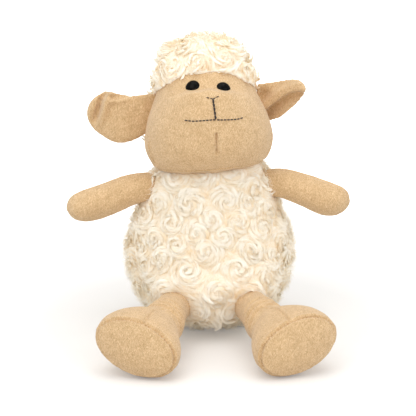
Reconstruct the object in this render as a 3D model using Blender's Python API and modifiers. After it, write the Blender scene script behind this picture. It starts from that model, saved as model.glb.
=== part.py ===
"""A sitting plush sheep, sewn from curly wool cloth and short-pile cloth over a stuffed body.

Units are metres and +Z is up. The sheep faces -Y. The origin is the centre of the flat
seat that it sits on. "left" and "right" are the sheep's own, so left is at +X.

Every soft form starts as a sphere whose rings are moved to stations along a spine, and is
smoothed with a Subdivision Surface. Its cloth cover is that form made hollow and cut apart
along the seams, and the stuffing is the same form drawn in by the cloth's thickness.
Limbs and ears turn on a round root that sits in a dish of the body or the head.
"""
import math

import bmesh
import bpy
from mathutils import Matrix, Vector
from mathutils.bvhtree import BVHTree

COLLECTION_NAME = "plush_sheep"
CUTTER_COLLECTION_NAME = "cutters"

# Cloth and fits
WOOL_CLOTH = 0.005
SHORT_PILE_CLOTH = 0.003
FIT_GAP = 0.0003
FILLING_GAP = 0.0006
SEAM_GAP = 0.0003
BODY_SEGMENTS = 12
WOOL_LEVELS = 2
LIMB_SEGMENTS = 8
TURNED_STEPS = 24
SMALL_TURNED_STEPS = 16
CAP_STEPS = 3
FITTING_ROUNDS = 3
FAR_FORWARD = -0.2
BLOCK_SIZE = 0.5
# Where the round root of a limb or an ear has its stations, from its pivot's level plane
ROOT_ANGLES = [math.radians(-55.0), math.radians(-18.0)]

# Body
BODY_WIDTH = 0.138
BODY_DEPTH = 0.122
BELLY_HEIGHT = 0.060
SEAT_RADIUS = 0.034
SEAT_PANEL_SHARE = 0.765
SEAT_FLAT_DEPTH = 0.0005
NECK_PIVOT_RISE = 0.045
NECK_PIVOT_HEIGHT = BELLY_HEIGHT + NECK_PIVOT_RISE
NECK_RADIUS = 0.050
PELLET_BAG_SHARE = 0.45
NECK_PAD_RADIUS = 0.020
NECK_PAD_THICKNESS = 0.006
# Stations of the body, as shares of the seat's radius, of the rise to the belly and from there
# to the neck's pivot, and as angles of the round top about that pivot
SEAT_PROFILE = [0.5, 0.95]
BOWL_PROFILE = [0.06, 0.25, 0.55, 1.0]
TAPER_PROFILE = [0.4, 0.75, 1.0]
DOME_ANGLES = [math.radians(25.0), math.radians(48.0), math.radians(70.0)]

# The wool's tufts
TUFT_PITCH = 0.021
TUFT_DEPTH = 0.0034
TUFT_REACH_SHARE = 0.58
TUFT_SPAN_SHARE = 1.3
TUFT_FADE_SHARE = 0.25
TUFT_WANDER = 0.7
TUFT_WANDER_STEP = 7.3
GOLDEN_ANGLE = math.radians(137.508)
LONG_EDGE_SHARE = 0.32

# Head: each rise starts at the height before it
HEAD_RISE = 0.022
JAW_RISE = 0.023
MUZZLE_RISE = 0.024
BROW_RISE = 0.028
CROWN_RISE = 0.020
TOP_RISE = 0.013
HEAD_BOTTOM = NECK_PIVOT_HEIGHT + HEAD_RISE
JAW_HEIGHT = HEAD_BOTTOM + JAW_RISE
MUZZLE_HEIGHT = JAW_HEIGHT + MUZZLE_RISE
BROW_HEIGHT = MUZZLE_HEIGHT + BROW_RISE
CROWN_HEIGHT = BROW_HEIGHT + CROWN_RISE
HEAD_TOP = CROWN_HEIGHT + TOP_RISE
JAW_WIDTH = 0.104
JAW_DEPTH = 0.100
MUZZLE_WIDTH = 0.095
MUZZLE_DEPTH = 0.104
BROW_WIDTH = 0.071
BROW_DEPTH = 0.082
CROWN_WIDTH = 0.061
CROWN_DEPTH = 0.063
MUZZLE_FORWARD = 0.014
BROW_FORWARD = 0.006
# Each station below the jaw: share of the rise to it, of its width and depth, and of its lean forward
CHIN_PROFILE = [(0.10, 0.62, 0.6), (0.42, 0.90, 0.8)]
# Each station from muzzle to brow: share of the rise, of the muzzle's width, depth and lean forward
NOSE_PROFILE = [(0.6, 0.82, 0.93, 0.8)]
# Each station above the crown: share of the rise to the top, and of the crown's width and depth
CROWN_PROFILE = [(0.7, 0.68)]
HEAD_ROLL = math.radians(-4.0)
HEAD_YAW = math.radians(3.0)
HAIR_PROUD = 0.003
# The hairline starts on the forehead, as shares of the rise from brow to crown and the brow's depth
HAIRLINE_SHARE = 0.45
HAIRLINE_DEPTH_SHARE = 0.524
HAIRLINE_SLOPE = math.radians(33.0)
HAIR_SIDE_BACK = 0.006
CHIN_SEAM_SHARE = 0.457

# Eyes, each a dome on a shank that a washer holds inside the head
EYE_RADIUS = 0.006
EYE_DOME_HEIGHT = 0.0042
EYE_ANGLES = [math.radians(25.0), math.radians(50.0), math.radians(72.0)]
EYE_SUNK = 0.0012
EYE_SHANK_RADIUS = 0.0016
EYE_SHANK_LENGTH = 0.012
EYE_SPACING = 0.0235
EYE_DROP = 0.0005
WASHER_RADIUS = 0.0065
WASHER_THICKNESS = 0.0014
WASHER_DEPTH = 0.0055

# Stitched nose and mouth
THREAD_RADIUS = 0.0005
NOSE_SHARE = 0.66
NOSE_WIDTH = 0.010
NOSE_RISE = 0.002
BRIDGE_GAP = 0.0022
MOUTH_SHARE = 0.143
MOUTH_WIDTH = 0.044
STITCH_OFFSET = 0.002
MOUTH_SAG = 0.001
THREAD_STEPS = 10

# Ears
EAR_ROOT_RISE = 0.0005
EAR_LENGTH = 0.046
EAR_WIDTH = 0.040
EAR_ROOT_WIDTH = 0.022
EAR_LAYER = 0.0032
# Each station of the ear: share of its length, and of the width there
EAR_PROFILE = [(0.14, 0.94), (0.36, 1.02), (0.64, 1.0), (0.88, 0.72)]
EAR_FULL_SHARE = 0.5
EAR_CUP = 0.006
EAR_ROOT_PROUD = 0.0045
EAR_LIFT = {"left": math.radians(27.0), "right": math.radians(-6.0)}
EAR_FORWARD = {"left": math.radians(55.0), "right": math.radians(10.0)}

# Arms
SHOULDER_RISE = 0.012
SHOULDER_FORWARD = 0.008
ARM_LENGTH = 0.064
ARM_ROOT_RADIUS = 0.0115
ARM_RADIUS = 0.0142
ARM_PROUD = 0.0055
# Each station of the arm: share of its length, and of the radius there
ARM_PROFILE = [(0.13, 0.93), (0.42, 0.97), (0.75, 1.03), (1.00, 0.98)]
ARM_FULL_SHARE = 0.5
ARM_TIP_REACH_SHARE = 0.72
ARM_TIP_RADIUS_SHARE = 0.62
ARM_DROOP = {"left": math.radians(12.0), "right": math.radians(18.0)}
ARM_FORWARD = {"left": math.radians(20.0), "right": math.radians(8.0)}

# Legs
HIP_SPACING = 0.047
HIP_HEIGHT_SHARE = 0.4834
LEG_SPLAY = math.radians(17.0)
LEG_LENGTH = 0.102
LEG_ROOT_RADIUS = 0.0135
LEG_RADIUS = 0.0165
LEG_PROUD = 0.005
# Each station of the leg above the foot: share of that length, of the toe's shift, and of the radius
LEG_PROFILE = [(0.16, 0.0, 0.94), (0.55, 0.0, 1.0), (0.95, 0.15, 1.08)]
LEG_FULL_SHARE = 0.55
# Each station of the foot: share of its depth, of the toe's shift, of its length and of its thickness
FOOT_PROFILE = [
    (0.25, 0.75, 0.86, 0.92),
    (0.58, 1.0, 1.0, 1.0),
    (0.88, 1.0, 0.91, 0.95),
    (0.99, 1.0, 0.66, 0.66),
]
FOOT_LENGTH = 0.068
FOOT_THICKNESS = 0.046
FOOT_DEPTH = 0.044
TOE_LIFT = math.radians(20.0)
TOE_SHIFT = 0.0065
SOLE_CAP = 0.004

SIDES = {"left": 1.0, "right": -1.0}
UP = Vector((0.0, 0.0, 1.0))
FORWARD = Vector((0.0, -1.0, 0.0))
ACROSS = Vector((1.0, 0.0, 0.0))

COLOURS = {
    "wool": ((0.93, 0.84, 0.68), 0.95),
    "short_pile": ((0.74, 0.53, 0.30), 0.9),
    "stuffing": ((0.93, 0.93, 0.91), 1.0),
    "pellet_cloth": ((0.80, 0.80, 0.76), 0.9),
    "thread": ((0.035, 0.022, 0.018), 0.6),
    "eye": ((0.006, 0.005, 0.005), 0.08),
    "washer": ((0.85, 0.86, 0.86), 0.4),
}


def clear_scene():
    for thing in list(bpy.data.objects):
        bpy.data.objects.remove(thing, do_unlink=True)


def new_collection(name):
    collection = bpy.data.collections.new(name)
    bpy.context.scene.collection.children.link(collection)
    return collection


def material(name):
    """One Principled material for each node, in the colour of its kind of cloth or plastic."""
    colour, roughness = COLOURS[name]
    result = bpy.data.materials.new(name)
    result.use_nodes = True
    shader = result.node_tree.nodes["Principled BSDF"]
    shader.inputs["Base Color"].default_value = (*colour, 1.0)
    shader.inputs["Roughness"].default_value = roughness
    shader.inputs["Metallic"].default_value = 0.0
    return result


def pivot_empty(name, place, parent=None):
    empty = bpy.data.objects.new(name, None)
    empty.empty_display_size = 0.01
    PARTS.objects.link(empty)
    empty.parent = parent
    empty.location = place - (world_place(parent) if parent else Vector())
    return empty


def world_place(empty):
    place = Vector(empty.location)
    while empty.parent:
        empty = empty.parent
        place += empty.location
    return place


def add_object(name, mesh, kind=None, parent=None):
    """A part when it has a kind of material, and otherwise a hidden cutter or guide."""
    thing = bpy.data.objects.new(name, mesh)
    if kind:
        PARTS.objects.link(thing)
        mesh.materials.append(material(kind))
    else:
        CUTTERS.objects.link(thing)
        thing.hide_render = True
        thing.display_type = "WIRE"
    if parent:
        thing.parent = parent
        thing.location = -world_place(parent)
    return thing


def evaluated_mesh(thing):
    """A copy of the object's mesh with its modifiers applied."""
    bpy.context.view_layer.update()
    graph = bpy.context.evaluated_depsgraph_get()
    return bpy.data.meshes.new_from_object(thing.evaluated_get(graph), depsgraph=graph)


def soft_form(name, start, rings, end, side, up, segments):
    """A closed form from pole to pole. A ring is its centre, half size along side, and along up."""
    steps = len(rings) + 1
    mesh = bpy.data.meshes.new(name)
    cage = bmesh.new()
    bmesh.ops.create_uvsphere(cage, u_segments=segments, v_segments=steps, radius=1.0)
    for vertex in cage.verts:
        height = max(-1.0, min(1.0, -vertex.co.z))
        step = round(math.acos(height) * steps / math.pi)
        if step == 0:
            vertex.co = start
        elif step == steps:
            vertex.co = end
        else:
            centre, half_side, half_up = rings[step - 1]
            spoke = Vector((vertex.co.x, vertex.co.y)).normalized()
            vertex.co = centre + side * spoke.x * half_side + up * spoke.y * half_up
    if side.cross(up).dot(end - start) < 0.0:
        bmesh.ops.reverse_faces(cage, faces=cage.faces)
    cage.to_mesh(mesh)
    cage.free()
    mesh.shade_smooth()
    return mesh


def smooth(thing):
    modifier = thing.modifiers.new("smooth", "SUBSURF")
    modifier.levels = 1
    modifier.render_levels = 1
    return thing


def fitted_cage(mesh):
    """A cage that is pushed out until its smoothed form passes through the given form's points."""
    cage = mesh.copy()
    thing = smooth(add_object(mesh.name + "_cage", cage))
    for _ in range(FITTING_ROUNDS):
        smoothed = evaluated_mesh(thing)
        for vertex, target in zip(cage.vertices, mesh.vertices):
            vertex.co += target.co - smoothed.vertices[vertex.index].co
        cage.update()
    return cage, evaluated_mesh(thing)


def draw_in(thing, depth):
    """The coarse form in triangles, so that every copy has the same flats, moved inward."""
    triangles = thing.modifiers.new("triangles", "TRIANGULATE")
    triangles.quad_method = "FIXED"
    modifier = thing.modifiers.new("draw in", "DISPLACE")
    modifier.mid_level = 0.0
    modifier.strength = -depth
    return thing


def cut(thing, *cutters):
    for cutter in cutters:
        modifier = thing.modifiers.new("cut " + cutter.name, "BOOLEAN")
        modifier.operation = "DIFFERENCE"
        modifier.solver = "EXACT"
        modifier.object = cutter
    return thing


def half_space(name, place, outward):
    """A large block that starts at a plane and fills the side that outward points to."""
    block = bmesh.new()
    bmesh.ops.create_cube(block, size=BLOCK_SIZE)
    turn = outward.to_track_quat("Z", "Y").to_matrix().to_4x4()
    shift = Matrix.Translation(place + outward.normalized() * BLOCK_SIZE / 2.0)
    bmesh.ops.transform(block, matrix=shift @ turn, verts=block.verts)
    mesh = bpy.data.meshes.new(name)
    block.to_mesh(mesh)
    block.free()
    return add_object(name, mesh)


def seam_pair(name, place, normal):
    """Two blocks that leave a seam's gap between the pieces on either side of a plane."""
    step = normal.normalized() * SEAM_GAP / 2.0
    ahead = half_space(name + "_ahead", place - step, normal)
    behind = half_space(name + "_behind", place + step, -normal)
    return ahead, behind


def ball(name, place, radius):
    mesh = bpy.data.meshes.new(name)
    sphere = bmesh.new()
    bmesh.ops.create_uvsphere(sphere, u_segments=TURNED_STEPS, v_segments=TURNED_STEPS // 2, radius=radius)
    bmesh.ops.translate(sphere, vec=place, verts=sphere.verts)
    sphere.to_mesh(mesh)
    sphere.free()
    mesh.shade_smooth()
    return add_object(name, mesh)


def turned(name, profile, place, direction, kind=None, parent=None, steps=TURNED_STEPS):
    """A profile of (radius, height) from its top to its bottom, turned about direction."""
    mesh = bpy.data.meshes.new(name)
    outline = bmesh.new()
    corners = [outline.verts.new((radius, 0.0, height)) for radius, height in profile]
    for first, second in zip(corners, corners[1:]):
        outline.edges.new((first, second))
    outline.to_mesh(mesh)
    outline.free()
    thing = add_object(name, mesh, kind, parent)
    modifier = thing.modifiers.new("turn", "SCREW")
    modifier.axis = "Z"
    modifier.angle = 2.0 * math.pi
    modifier.steps = steps
    modifier.render_steps = steps
    modifier.use_merge_vertices = True
    modifier.merge_threshold = 0.00001
    thing.rotation_mode = "QUATERNION"
    thing.rotation_quaternion = direction.to_track_quat("Z", "Y")
    thing.location = thing.location + place
    return thing


def stitch(name, points, parent):
    """A sewn thread that runs through points."""
    curve = bpy.data.curves.new(name, "CURVE")
    curve.dimensions = "3D"
    curve.bevel_depth = THREAD_RADIUS
    curve.bevel_resolution = 1
    curve.use_fill_caps = True
    spline = curve.splines.new("POLY")
    spline.points.add(len(points) - 1)
    for control, point in zip(spline.points, points):
        control.co = (*point, 1.0)
    return add_object(name, curve, "thread", parent)


def reach_behind(mesh, pivot, direction, limit):
    """How far the part of a limb that lies behind the limit reaches from its pivot."""
    distances = []
    for vertex in mesh.vertices:
        offset = vertex.co - pivot
        if offset.dot(direction) < limit:
            distances.append(offset.length)
    return max(distances)


def ramp(share):
    """A smooth step from 0 to 1."""
    return 0.5 - 0.5 * math.cos(math.pi * max(0.0, min(1.0, share)))


def body_half_width(height):
    """The body's half width: a rounded bowl, a taper, and a round top about the neck's pivot."""
    belly = BODY_WIDTH / 2.0
    if height < BELLY_HEIGHT:
        drop = 1.0 - height / BELLY_HEIGHT
        return SEAT_RADIUS + (belly - SEAT_RADIUS) * math.sqrt(1.0 - drop * drop)
    if height < NECK_PIVOT_HEIGHT:
        share = (height - BELLY_HEIGHT) / (NECK_PIVOT_HEIGHT - BELLY_HEIGHT)
        return belly + (NECK_RADIUS - belly) * ramp(share)
    rise = min(NECK_RADIUS, height - NECK_PIVOT_HEIGHT)
    return math.sqrt(NECK_RADIUS ** 2 - rise ** 2)


def body_mesh(name):
    """The body's form, an upright pear that is flat where it sits."""
    low = -SEAT_FLAT_DEPTH
    bowl = [BELLY_HEIGHT * share for share in BOWL_PROFILE]
    taper_height = NECK_PIVOT_HEIGHT - BELLY_HEIGHT
    taper = [BELLY_HEIGHT + taper_height * share for share in TAPER_PROFILE]
    dome = [NECK_PIVOT_HEIGHT + NECK_RADIUS * math.sin(angle) for angle in DOME_ANGLES]
    rings = []
    for share in SEAT_PROFILE:
        rings.append((Vector((0.0, 0.0, low)), SEAT_RADIUS * share, SEAT_RADIUS * share))
    for height in bowl + taper + dome:
        half = body_half_width(height)
        depth_share = BODY_DEPTH / BODY_WIDTH
        roundness = ramp((NECK_PIVOT_HEIGHT - height) / taper_height)
        half_depth = half * (1.0 + (depth_share - 1.0) * roundness)
        rings.append((Vector((0.0, 0.0, height)), half, half_depth))
    bottom = Vector((0.0, 0.0, low))
    top = Vector((0.0, 0.0, NECK_PIVOT_HEIGHT + NECK_RADIUS))
    return soft_form(name, bottom, rings, top, ACROSS, -FORWARD, BODY_SEGMENTS)


def head_turn():
    """The head's lean and turn about the top of the neck."""
    base = Vector((0.0, 0.0, HEAD_BOTTOM))
    turn = Matrix.Rotation(HEAD_YAW, 4, "Z") @ Matrix.Rotation(HEAD_ROLL, 4, "Y")
    return Matrix.Translation(base) @ turn @ Matrix.Translation(-base)


def head_mesh(name, proud=0.0):
    """The head's form: a wide jaw and muzzle that lean forward, under a narrower crown."""
    stations = []
    for rise, fullness, lean in CHIN_PROFILE:
        place = HEAD_BOTTOM + JAW_RISE * rise
        stations.append((place, JAW_WIDTH * fullness, JAW_DEPTH * fullness, MUZZLE_FORWARD * lean))
    stations += [
        (JAW_HEIGHT, JAW_WIDTH, JAW_DEPTH, MUZZLE_FORWARD),
        (MUZZLE_HEIGHT, MUZZLE_WIDTH, MUZZLE_DEPTH, MUZZLE_FORWARD),
    ]
    for rise, wide_share, deep_share, lean in NOSE_PROFILE:
        place = MUZZLE_HEIGHT + BROW_RISE * rise
        depth = MUZZLE_DEPTH * deep_share
        stations.append((place, MUZZLE_WIDTH * wide_share, depth, MUZZLE_FORWARD * lean))
    stations += [
        (BROW_HEIGHT, BROW_WIDTH, BROW_DEPTH, BROW_FORWARD),
        (CROWN_HEIGHT, CROWN_WIDTH, CROWN_DEPTH, 0.0),
    ]
    for rise, fullness in CROWN_PROFILE:
        place = CROWN_HEIGHT + TOP_RISE * rise
        stations.append((place, CROWN_WIDTH * fullness, CROWN_DEPTH * fullness, 0.0))
    rings = []
    for height, width, depth, forward in stations:
        centre = Vector((0.0, -forward, height))
        rings.append((centre, width / 2.0 + proud, depth / 2.0 + proud))
    bottom = Vector((0.0, -MUZZLE_FORWARD * CHIN_PROFILE[0][2], HEAD_BOTTOM - proud))
    top = Vector((0.0, 0.0, HEAD_TOP + proud))
    mesh = soft_form(name, bottom, rings, top, ACROSS, -FORWARD, BODY_SEGMENTS)
    mesh.transform(head_turn())
    return mesh


def limb_frame(direction):
    """Unit vectors across a limb: side is level, and up completes the frame."""
    side = UP.cross(direction).normalized()
    return side, direction.cross(side).normalized()


def root_rings(pivot, direction, radius):
    """The round end of a limb about its pivot, from the back pole to its equator."""
    rings = []
    for angle in ROOT_ANGLES:
        centre = pivot + direction * radius * math.sin(angle)
        rings.append((centre, radius * math.cos(angle), radius * math.cos(angle)))
    return rings


def arm_mesh(name, pivot, direction):
    side, up = limb_frame(direction)
    rings = root_rings(pivot, direction, ARM_ROOT_RADIUS)
    body_length = ARM_LENGTH - ARM_RADIUS
    for reach, fullness in ARM_PROFILE:
        grown = ramp(reach / ARM_FULL_SHARE)
        radius = (ARM_ROOT_RADIUS + (ARM_RADIUS - ARM_ROOT_RADIUS) * grown) * fullness
        rings.append((pivot + direction * body_length * reach, radius, radius))
    tip = pivot + direction * (body_length + ARM_RADIUS * ARM_TIP_REACH_SHARE)
    rings.append((tip, ARM_RADIUS * ARM_TIP_RADIUS_SHARE, ARM_RADIUS * ARM_TIP_RADIUS_SHARE))
    back = pivot - direction * ARM_ROOT_RADIUS
    return soft_form(name, back, rings, pivot + direction * ARM_LENGTH, side, up, LIMB_SEGMENTS)


def leg_mesh(name, pivot, direction, hand):
    """A leg tube that swells into a foot, whose toe end points outward and up."""
    level, up = limb_frame(direction)
    outward = level if level.x * hand > 0.0 else -level
    toe = (outward * math.cos(TOE_LIFT) + up * math.sin(TOE_LIFT)).normalized()
    width = direction.cross(toe).normalized()
    rings = root_rings(pivot, direction, LEG_ROOT_RADIUS)
    foot_start = LEG_LENGTH - FOOT_DEPTH
    half_toe = FOOT_LENGTH / 2.0
    half_width = FOOT_THICKNESS / 2.0
    stations = []
    for reach, shift, fullness in LEG_PROFILE:
        grown = ramp(reach / LEG_FULL_SHARE)
        radius = (LEG_ROOT_RADIUS + (LEG_RADIUS - LEG_ROOT_RADIUS) * grown) * fullness
        stations.append((foot_start * reach, shift, radius, radius))
    for reach, shift, long_share, wide_share in FOOT_PROFILE:
        place = foot_start + FOOT_DEPTH * reach
        stations.append((place, shift, half_toe * long_share, half_width * wide_share))
    for reach, shift, along_toe, across in stations:
        centre = pivot + direction * reach + toe * TOE_SHIFT * shift
        rings.append((centre, along_toe, across))
    sole_centre = pivot + direction * LEG_LENGTH + toe * TOE_SHIFT
    back = pivot - direction * LEG_ROOT_RADIUS
    return soft_form(name, back, rings, sole_centre, toe, width, LIMB_SEGMENTS)


def ear_mesh(name, pivot, direction, wide, face, shift):
    """One layer of an ear: a leaf that is cupped across its width, shifted towards its face."""
    root = EAR_ROOT_WIDTH / 2.0
    rings = []
    for centre, half_width, _ in root_rings(pivot, direction, root):
        rings.append((centre + face * shift, half_width, EAR_LAYER / 2.0))
    for reach, fullness in EAR_PROFILE:
        centre = pivot + direction * EAR_LENGTH * reach + face * shift
        half_width = root + (EAR_WIDTH / 2.0 - root) * ramp(reach / EAR_FULL_SHARE)
        rings.append((centre, half_width * fullness, EAR_LAYER / 2.0))
    back = pivot - direction * root + face * shift
    tip = pivot + direction * EAR_LENGTH + face * shift
    mesh = soft_form(name, back, rings, tip, wide, face, LIMB_SEGMENTS)
    for vertex in mesh.vertices:
        offset = vertex.co - pivot
        spread = offset.dot(wide) / (EAR_WIDTH / 2.0)
        vertex.co += face * EAR_CUP * spread * spread
    return mesh


class Form:
    """A soft shape: its points, the smooth cage that passes through them, and its surface."""

    def __init__(self, mesh):
        self.mesh = mesh
        self.cage, self.smoothed = fitted_cage(mesh)
        points = [vertex.co.copy() for vertex in self.smoothed.vertices]
        self.tree = BVHTree.FromPolygons(points, [face.vertices for face in self.smoothed.polygons])

    def surface_point(self, place, direction):
        point, _, _, _ = self.tree.ray_cast(place, direction)
        return point


def tuft_centres(form, frame, middle, spans):
    """Places of the wool's tufts on a form: spread evenly, each a little off its even place."""
    wide, deep, tall = spans
    area = 4.0 * math.pi * (wide * deep + deep * tall + tall * wide) / 3.0
    count = round(area / (TUFT_PITCH ** 2 * math.sqrt(0.75)))
    centres = []
    for index in range(count):
        wander = TUFT_WANDER * math.sin(index * TUFT_WANDER_STEP) / math.sqrt(count)
        rise = max(-1.0, min(1.0, 1.0 - (2.0 * index + 1.0) / count + wander))
        level = math.sqrt(1.0 - rise * rise)
        angle = GOLDEN_ANGLE * index
        direction = Vector((wide * level * math.cos(angle), deep * level * math.sin(angle), tall * rise))
        centres.append(form.surface_point(frame @ middle, frame.to_3x3() @ direction.normalized()))
    return centres


def tufted_mesh(name, form, centres, full_depth):
    """The form in finer faces, drawn in between its tufts, whose tops stay where the form is."""
    fine = add_object(name + "_fine", form.cage.copy())
    modifier = fine.modifiers.new("finer", "SUBSURF")
    modifier.levels = WOOL_LEVELS
    modifier.render_levels = WOOL_LEVELS
    mesh = evaluated_mesh(fine)
    mesh.name = name
    grid = bmesh.new()
    grid.from_mesh(mesh)
    long_edges = [edge for edge in grid.edges if edge.calc_length() > TUFT_PITCH * LONG_EDGE_SHARE]
    bmesh.ops.subdivide_edges(grid, edges=long_edges, cuts=1, use_grid_fill=True)
    grid.normal_update()
    moves = []
    for vertex in grid.verts:
        distance = min((vertex.co - centre).length for centre in centres)
        share = min(1.0, distance / (TUFT_PITCH * TUFT_REACH_SHARE))
        dip = TUFT_DEPTH * (1.0 - math.cos(share * math.pi / 2.0)) * full_depth(vertex.co.z)
        moves.append(vertex.normal * -dip)
    for vertex, move in zip(grid.verts, moves):
        vertex.co += move
    bmesh.ops.triangulate(grid, faces=grid.faces)
    grid.to_mesh(mesh)
    grid.free()
    mesh.shade_smooth()
    return mesh


def cloth_room(form, cloth):
    """The space that the form's cloth leaves for its filling, as a cutter."""
    return draw_in(add_object(form.mesh.name + "_room", form.mesh.copy()), cloth)


def panel(name, form, room, kind, parent, *cutters):
    """A panel of cloth: the smooth form, less its filling's room and what the cutters take away."""
    thing = smooth(add_object(name, form.cage.copy(), kind, parent))
    return cut(thing, room, *cutters)


def wool_panel(name, mesh, room, parent, *cutters):
    """A panel of tufted wool, less its filling's room and what the cutters take away."""
    return cut(add_object(name, mesh.copy(), "wool", parent), room, *cutters)


def filling(name, form, cloth, kind, parent, *cutters):
    """What fills a cover, a small gap inside its cloth."""
    thing = add_object(name, form.mesh.copy(), kind, parent)
    draw_in(thing, cloth + FILLING_GAP)
    return cut(thing, *cutters)


def dish(name, form, pivot, direction, cutters):
    """Room for the round root of a limb, in what carries it."""
    radius = reach_behind(form.smoothed, pivot, direction, 0.0) + FIT_GAP
    cutters.append(ball("dish_" + name, pivot, radius / math.cos(math.pi / TURNED_STEPS)))


def make_arm(name, pivot, direction, body_cutters):
    form = Form(arm_mesh("arm_form_" + name, pivot, direction))
    dish("arm_" + name, form, pivot, direction, body_cutters)
    empty = pivot_empty("arm_" + name + "_pivot", pivot)
    level, _ = limb_frame(direction)
    ahead, behind = seam_pair("arm_seam_" + name, pivot, level if level.y < 0.0 else -level)
    cloth = SHORT_PILE_CLOTH
    room = cloth_room(form, cloth)
    panel("arm_" + name + "_front", form, room, "short_pile", empty, behind)
    panel("arm_" + name + "_back", form, room, "short_pile", empty, ahead)
    filling("arm_" + name + "_stuffing", form, cloth, "stuffing", empty)


def settled_leg(name, pivot, splay, hand):
    """The leg's form and direction, lowered until the foot rests on the floor."""
    droop = 0.0
    level, _ = limb_frame(splay)
    for _ in range(FITTING_ROUNDS):
        direction = Matrix.Rotation(droop, 3, level) @ splay
        form = Form(leg_mesh("leg_form_" + name, pivot, direction, hand))
        lowest = min(vertex.co.z for vertex in form.smoothed.vertices)
        droop += math.asin((lowest + SEAT_FLAT_DEPTH) / LEG_LENGTH)
    return form, direction


def make_leg(name, hand, pivot, splay, body_cutters, floor):
    form, direction = settled_leg(name, pivot, splay, hand)
    dish("leg_" + name, form, pivot, direction, body_cutters)
    empty = pivot_empty("leg_" + name + "_pivot", pivot)
    level, _ = limb_frame(direction)
    outward = level if level.x * hand > 0.0 else -level
    ahead, behind = seam_pair("leg_seam_" + name, pivot, outward)
    sole_place = pivot + direction * (LEG_LENGTH - SOLE_CAP)
    beyond, before = seam_pair("sole_seam_" + name, sole_place, direction)
    cloth = SHORT_PILE_CLOTH
    room = cloth_room(form, cloth)
    panel("leg_" + name + "_outer", form, room, "short_pile", empty, behind, beyond, floor)
    panel("leg_" + name + "_inner", form, room, "short_pile", empty, ahead, beyond, floor)
    panel("sole_" + name, form, room, "short_pile", empty, before, floor)
    filling("leg_" + name + "_stuffing", form, cloth, "stuffing", empty)


def make_ear(name, hand, head, parent, head_cutters):
    lift = EAR_LIFT[name]
    outward = Matrix.Rotation(-hand * EAR_FORWARD[name], 3, "Z") @ (ACROSS * hand)
    direction = (outward * math.cos(lift) + UP * math.sin(lift)).normalized()
    start = head_turn() @ Vector((0.0, 0.0, MUZZLE_HEIGHT + EAR_ROOT_RISE))
    point = head.surface_point(start, ACROSS * hand)
    pivot = point + ACROSS * hand * (EAR_ROOT_PROUD + HAIR_PROUD)
    wide = direction.cross(FORWARD).normalized()
    face = direction.cross(wide).normalized()
    if face.y > 0.0:
        face = -face
    shift = (EAR_LAYER + FIT_GAP) / 2.0
    empty = pivot_empty("ear_" + name + "_pivot", pivot, parent)
    reach = 0.0
    for layer, sign in (("front", 1.0), ("back", -1.0)):
        form = Form(ear_mesh("ear_form_" + name, pivot, direction, wide, face, shift * sign))
        smooth(add_object("ear_" + name + "_" + layer, form.cage.copy(), "short_pile", empty))
        reach = max(reach, reach_behind(form.smoothed, pivot, direction, 0.0))
    radius = (reach + FIT_GAP) / math.cos(math.pi / TURNED_STEPS)
    head_cutters.append(ball("ear_dish_" + name, pivot, radius))


def eye_profile(clearance=0.0):
    """A dome, its flat back and its shank, from the dome's top down."""
    rim = EYE_RADIUS + clearance
    top = EYE_DOME_HEIGHT + clearance
    profile = [(0.0, top)]
    for angle in EYE_ANGLES:
        profile.append((rim * math.sin(angle), top * math.cos(angle)))
    shank = EYE_SHANK_RADIUS + clearance
    profile += [(rim, 0.0), (rim, -EYE_SUNK - clearance), (shank, -EYE_SUNK - clearance)]
    profile += [(shank, -EYE_SHANK_LENGTH - clearance), (0.0, -EYE_SHANK_LENGTH - clearance)]
    return profile


def disc_profile(radius, top, bottom):
    return [(0.0, top), (radius, top), (radius, bottom), (0.0, bottom)]


def face_point(head, x, z):
    """The point and outward direction of the head's front at a place given in the head's frame."""
    lean = head_turn()
    start = lean @ Vector((x, FAR_FORWARD, z))
    point, normal, _, _ = head.tree.ray_cast(start, lean.to_3x3() @ -FORWARD)
    return point, normal


def make_eye(name, hand, head, parent, face_cutters, filling_cutters):
    point, normal = face_point(head, hand * EYE_SPACING / 2.0, BROW_HEIGHT - EYE_DROP)
    small = SMALL_TURNED_STEPS
    turned("eye_" + name, eye_profile(), point, normal, "eye", parent, small)
    face_cutters.append(turned("eye_seat_" + name, eye_profile(FIT_GAP), point, normal, steps=small))
    hole = EYE_SHANK_RADIUS + FIT_GAP
    top = -WASHER_DEPTH
    bottom = top - WASHER_THICKNESS
    ring = [(hole, top), (WASHER_RADIUS, top), (WASHER_RADIUS, bottom), (hole, bottom), (hole, top)]
    turned("eye_washer_" + name, ring, point, normal, "washer", parent, small)
    pocket = disc_profile(WASHER_RADIUS + FIT_GAP, 0.0, -EYE_SHANK_LENGTH - FIT_GAP)
    filling_cutters.append(turned("washer_pocket_" + name, pocket, point, normal, steps=small))


def thread_line(head, first, last, sag=0.0):
    """Points along a stitched line, a thread's radius and a fit gap in front of the face."""
    points = []
    for step in range(THREAD_STEPS + 1):
        share = step / THREAD_STEPS
        x = first[0] + (last[0] - first[0]) * share
        z = first[1] + (last[1] - first[1]) * share - sag * math.sin(math.pi * share)
        point, normal = face_point(head, x, z)
        points.append(point + normal * (THREAD_RADIUS + FIT_GAP))
    return points


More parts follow.
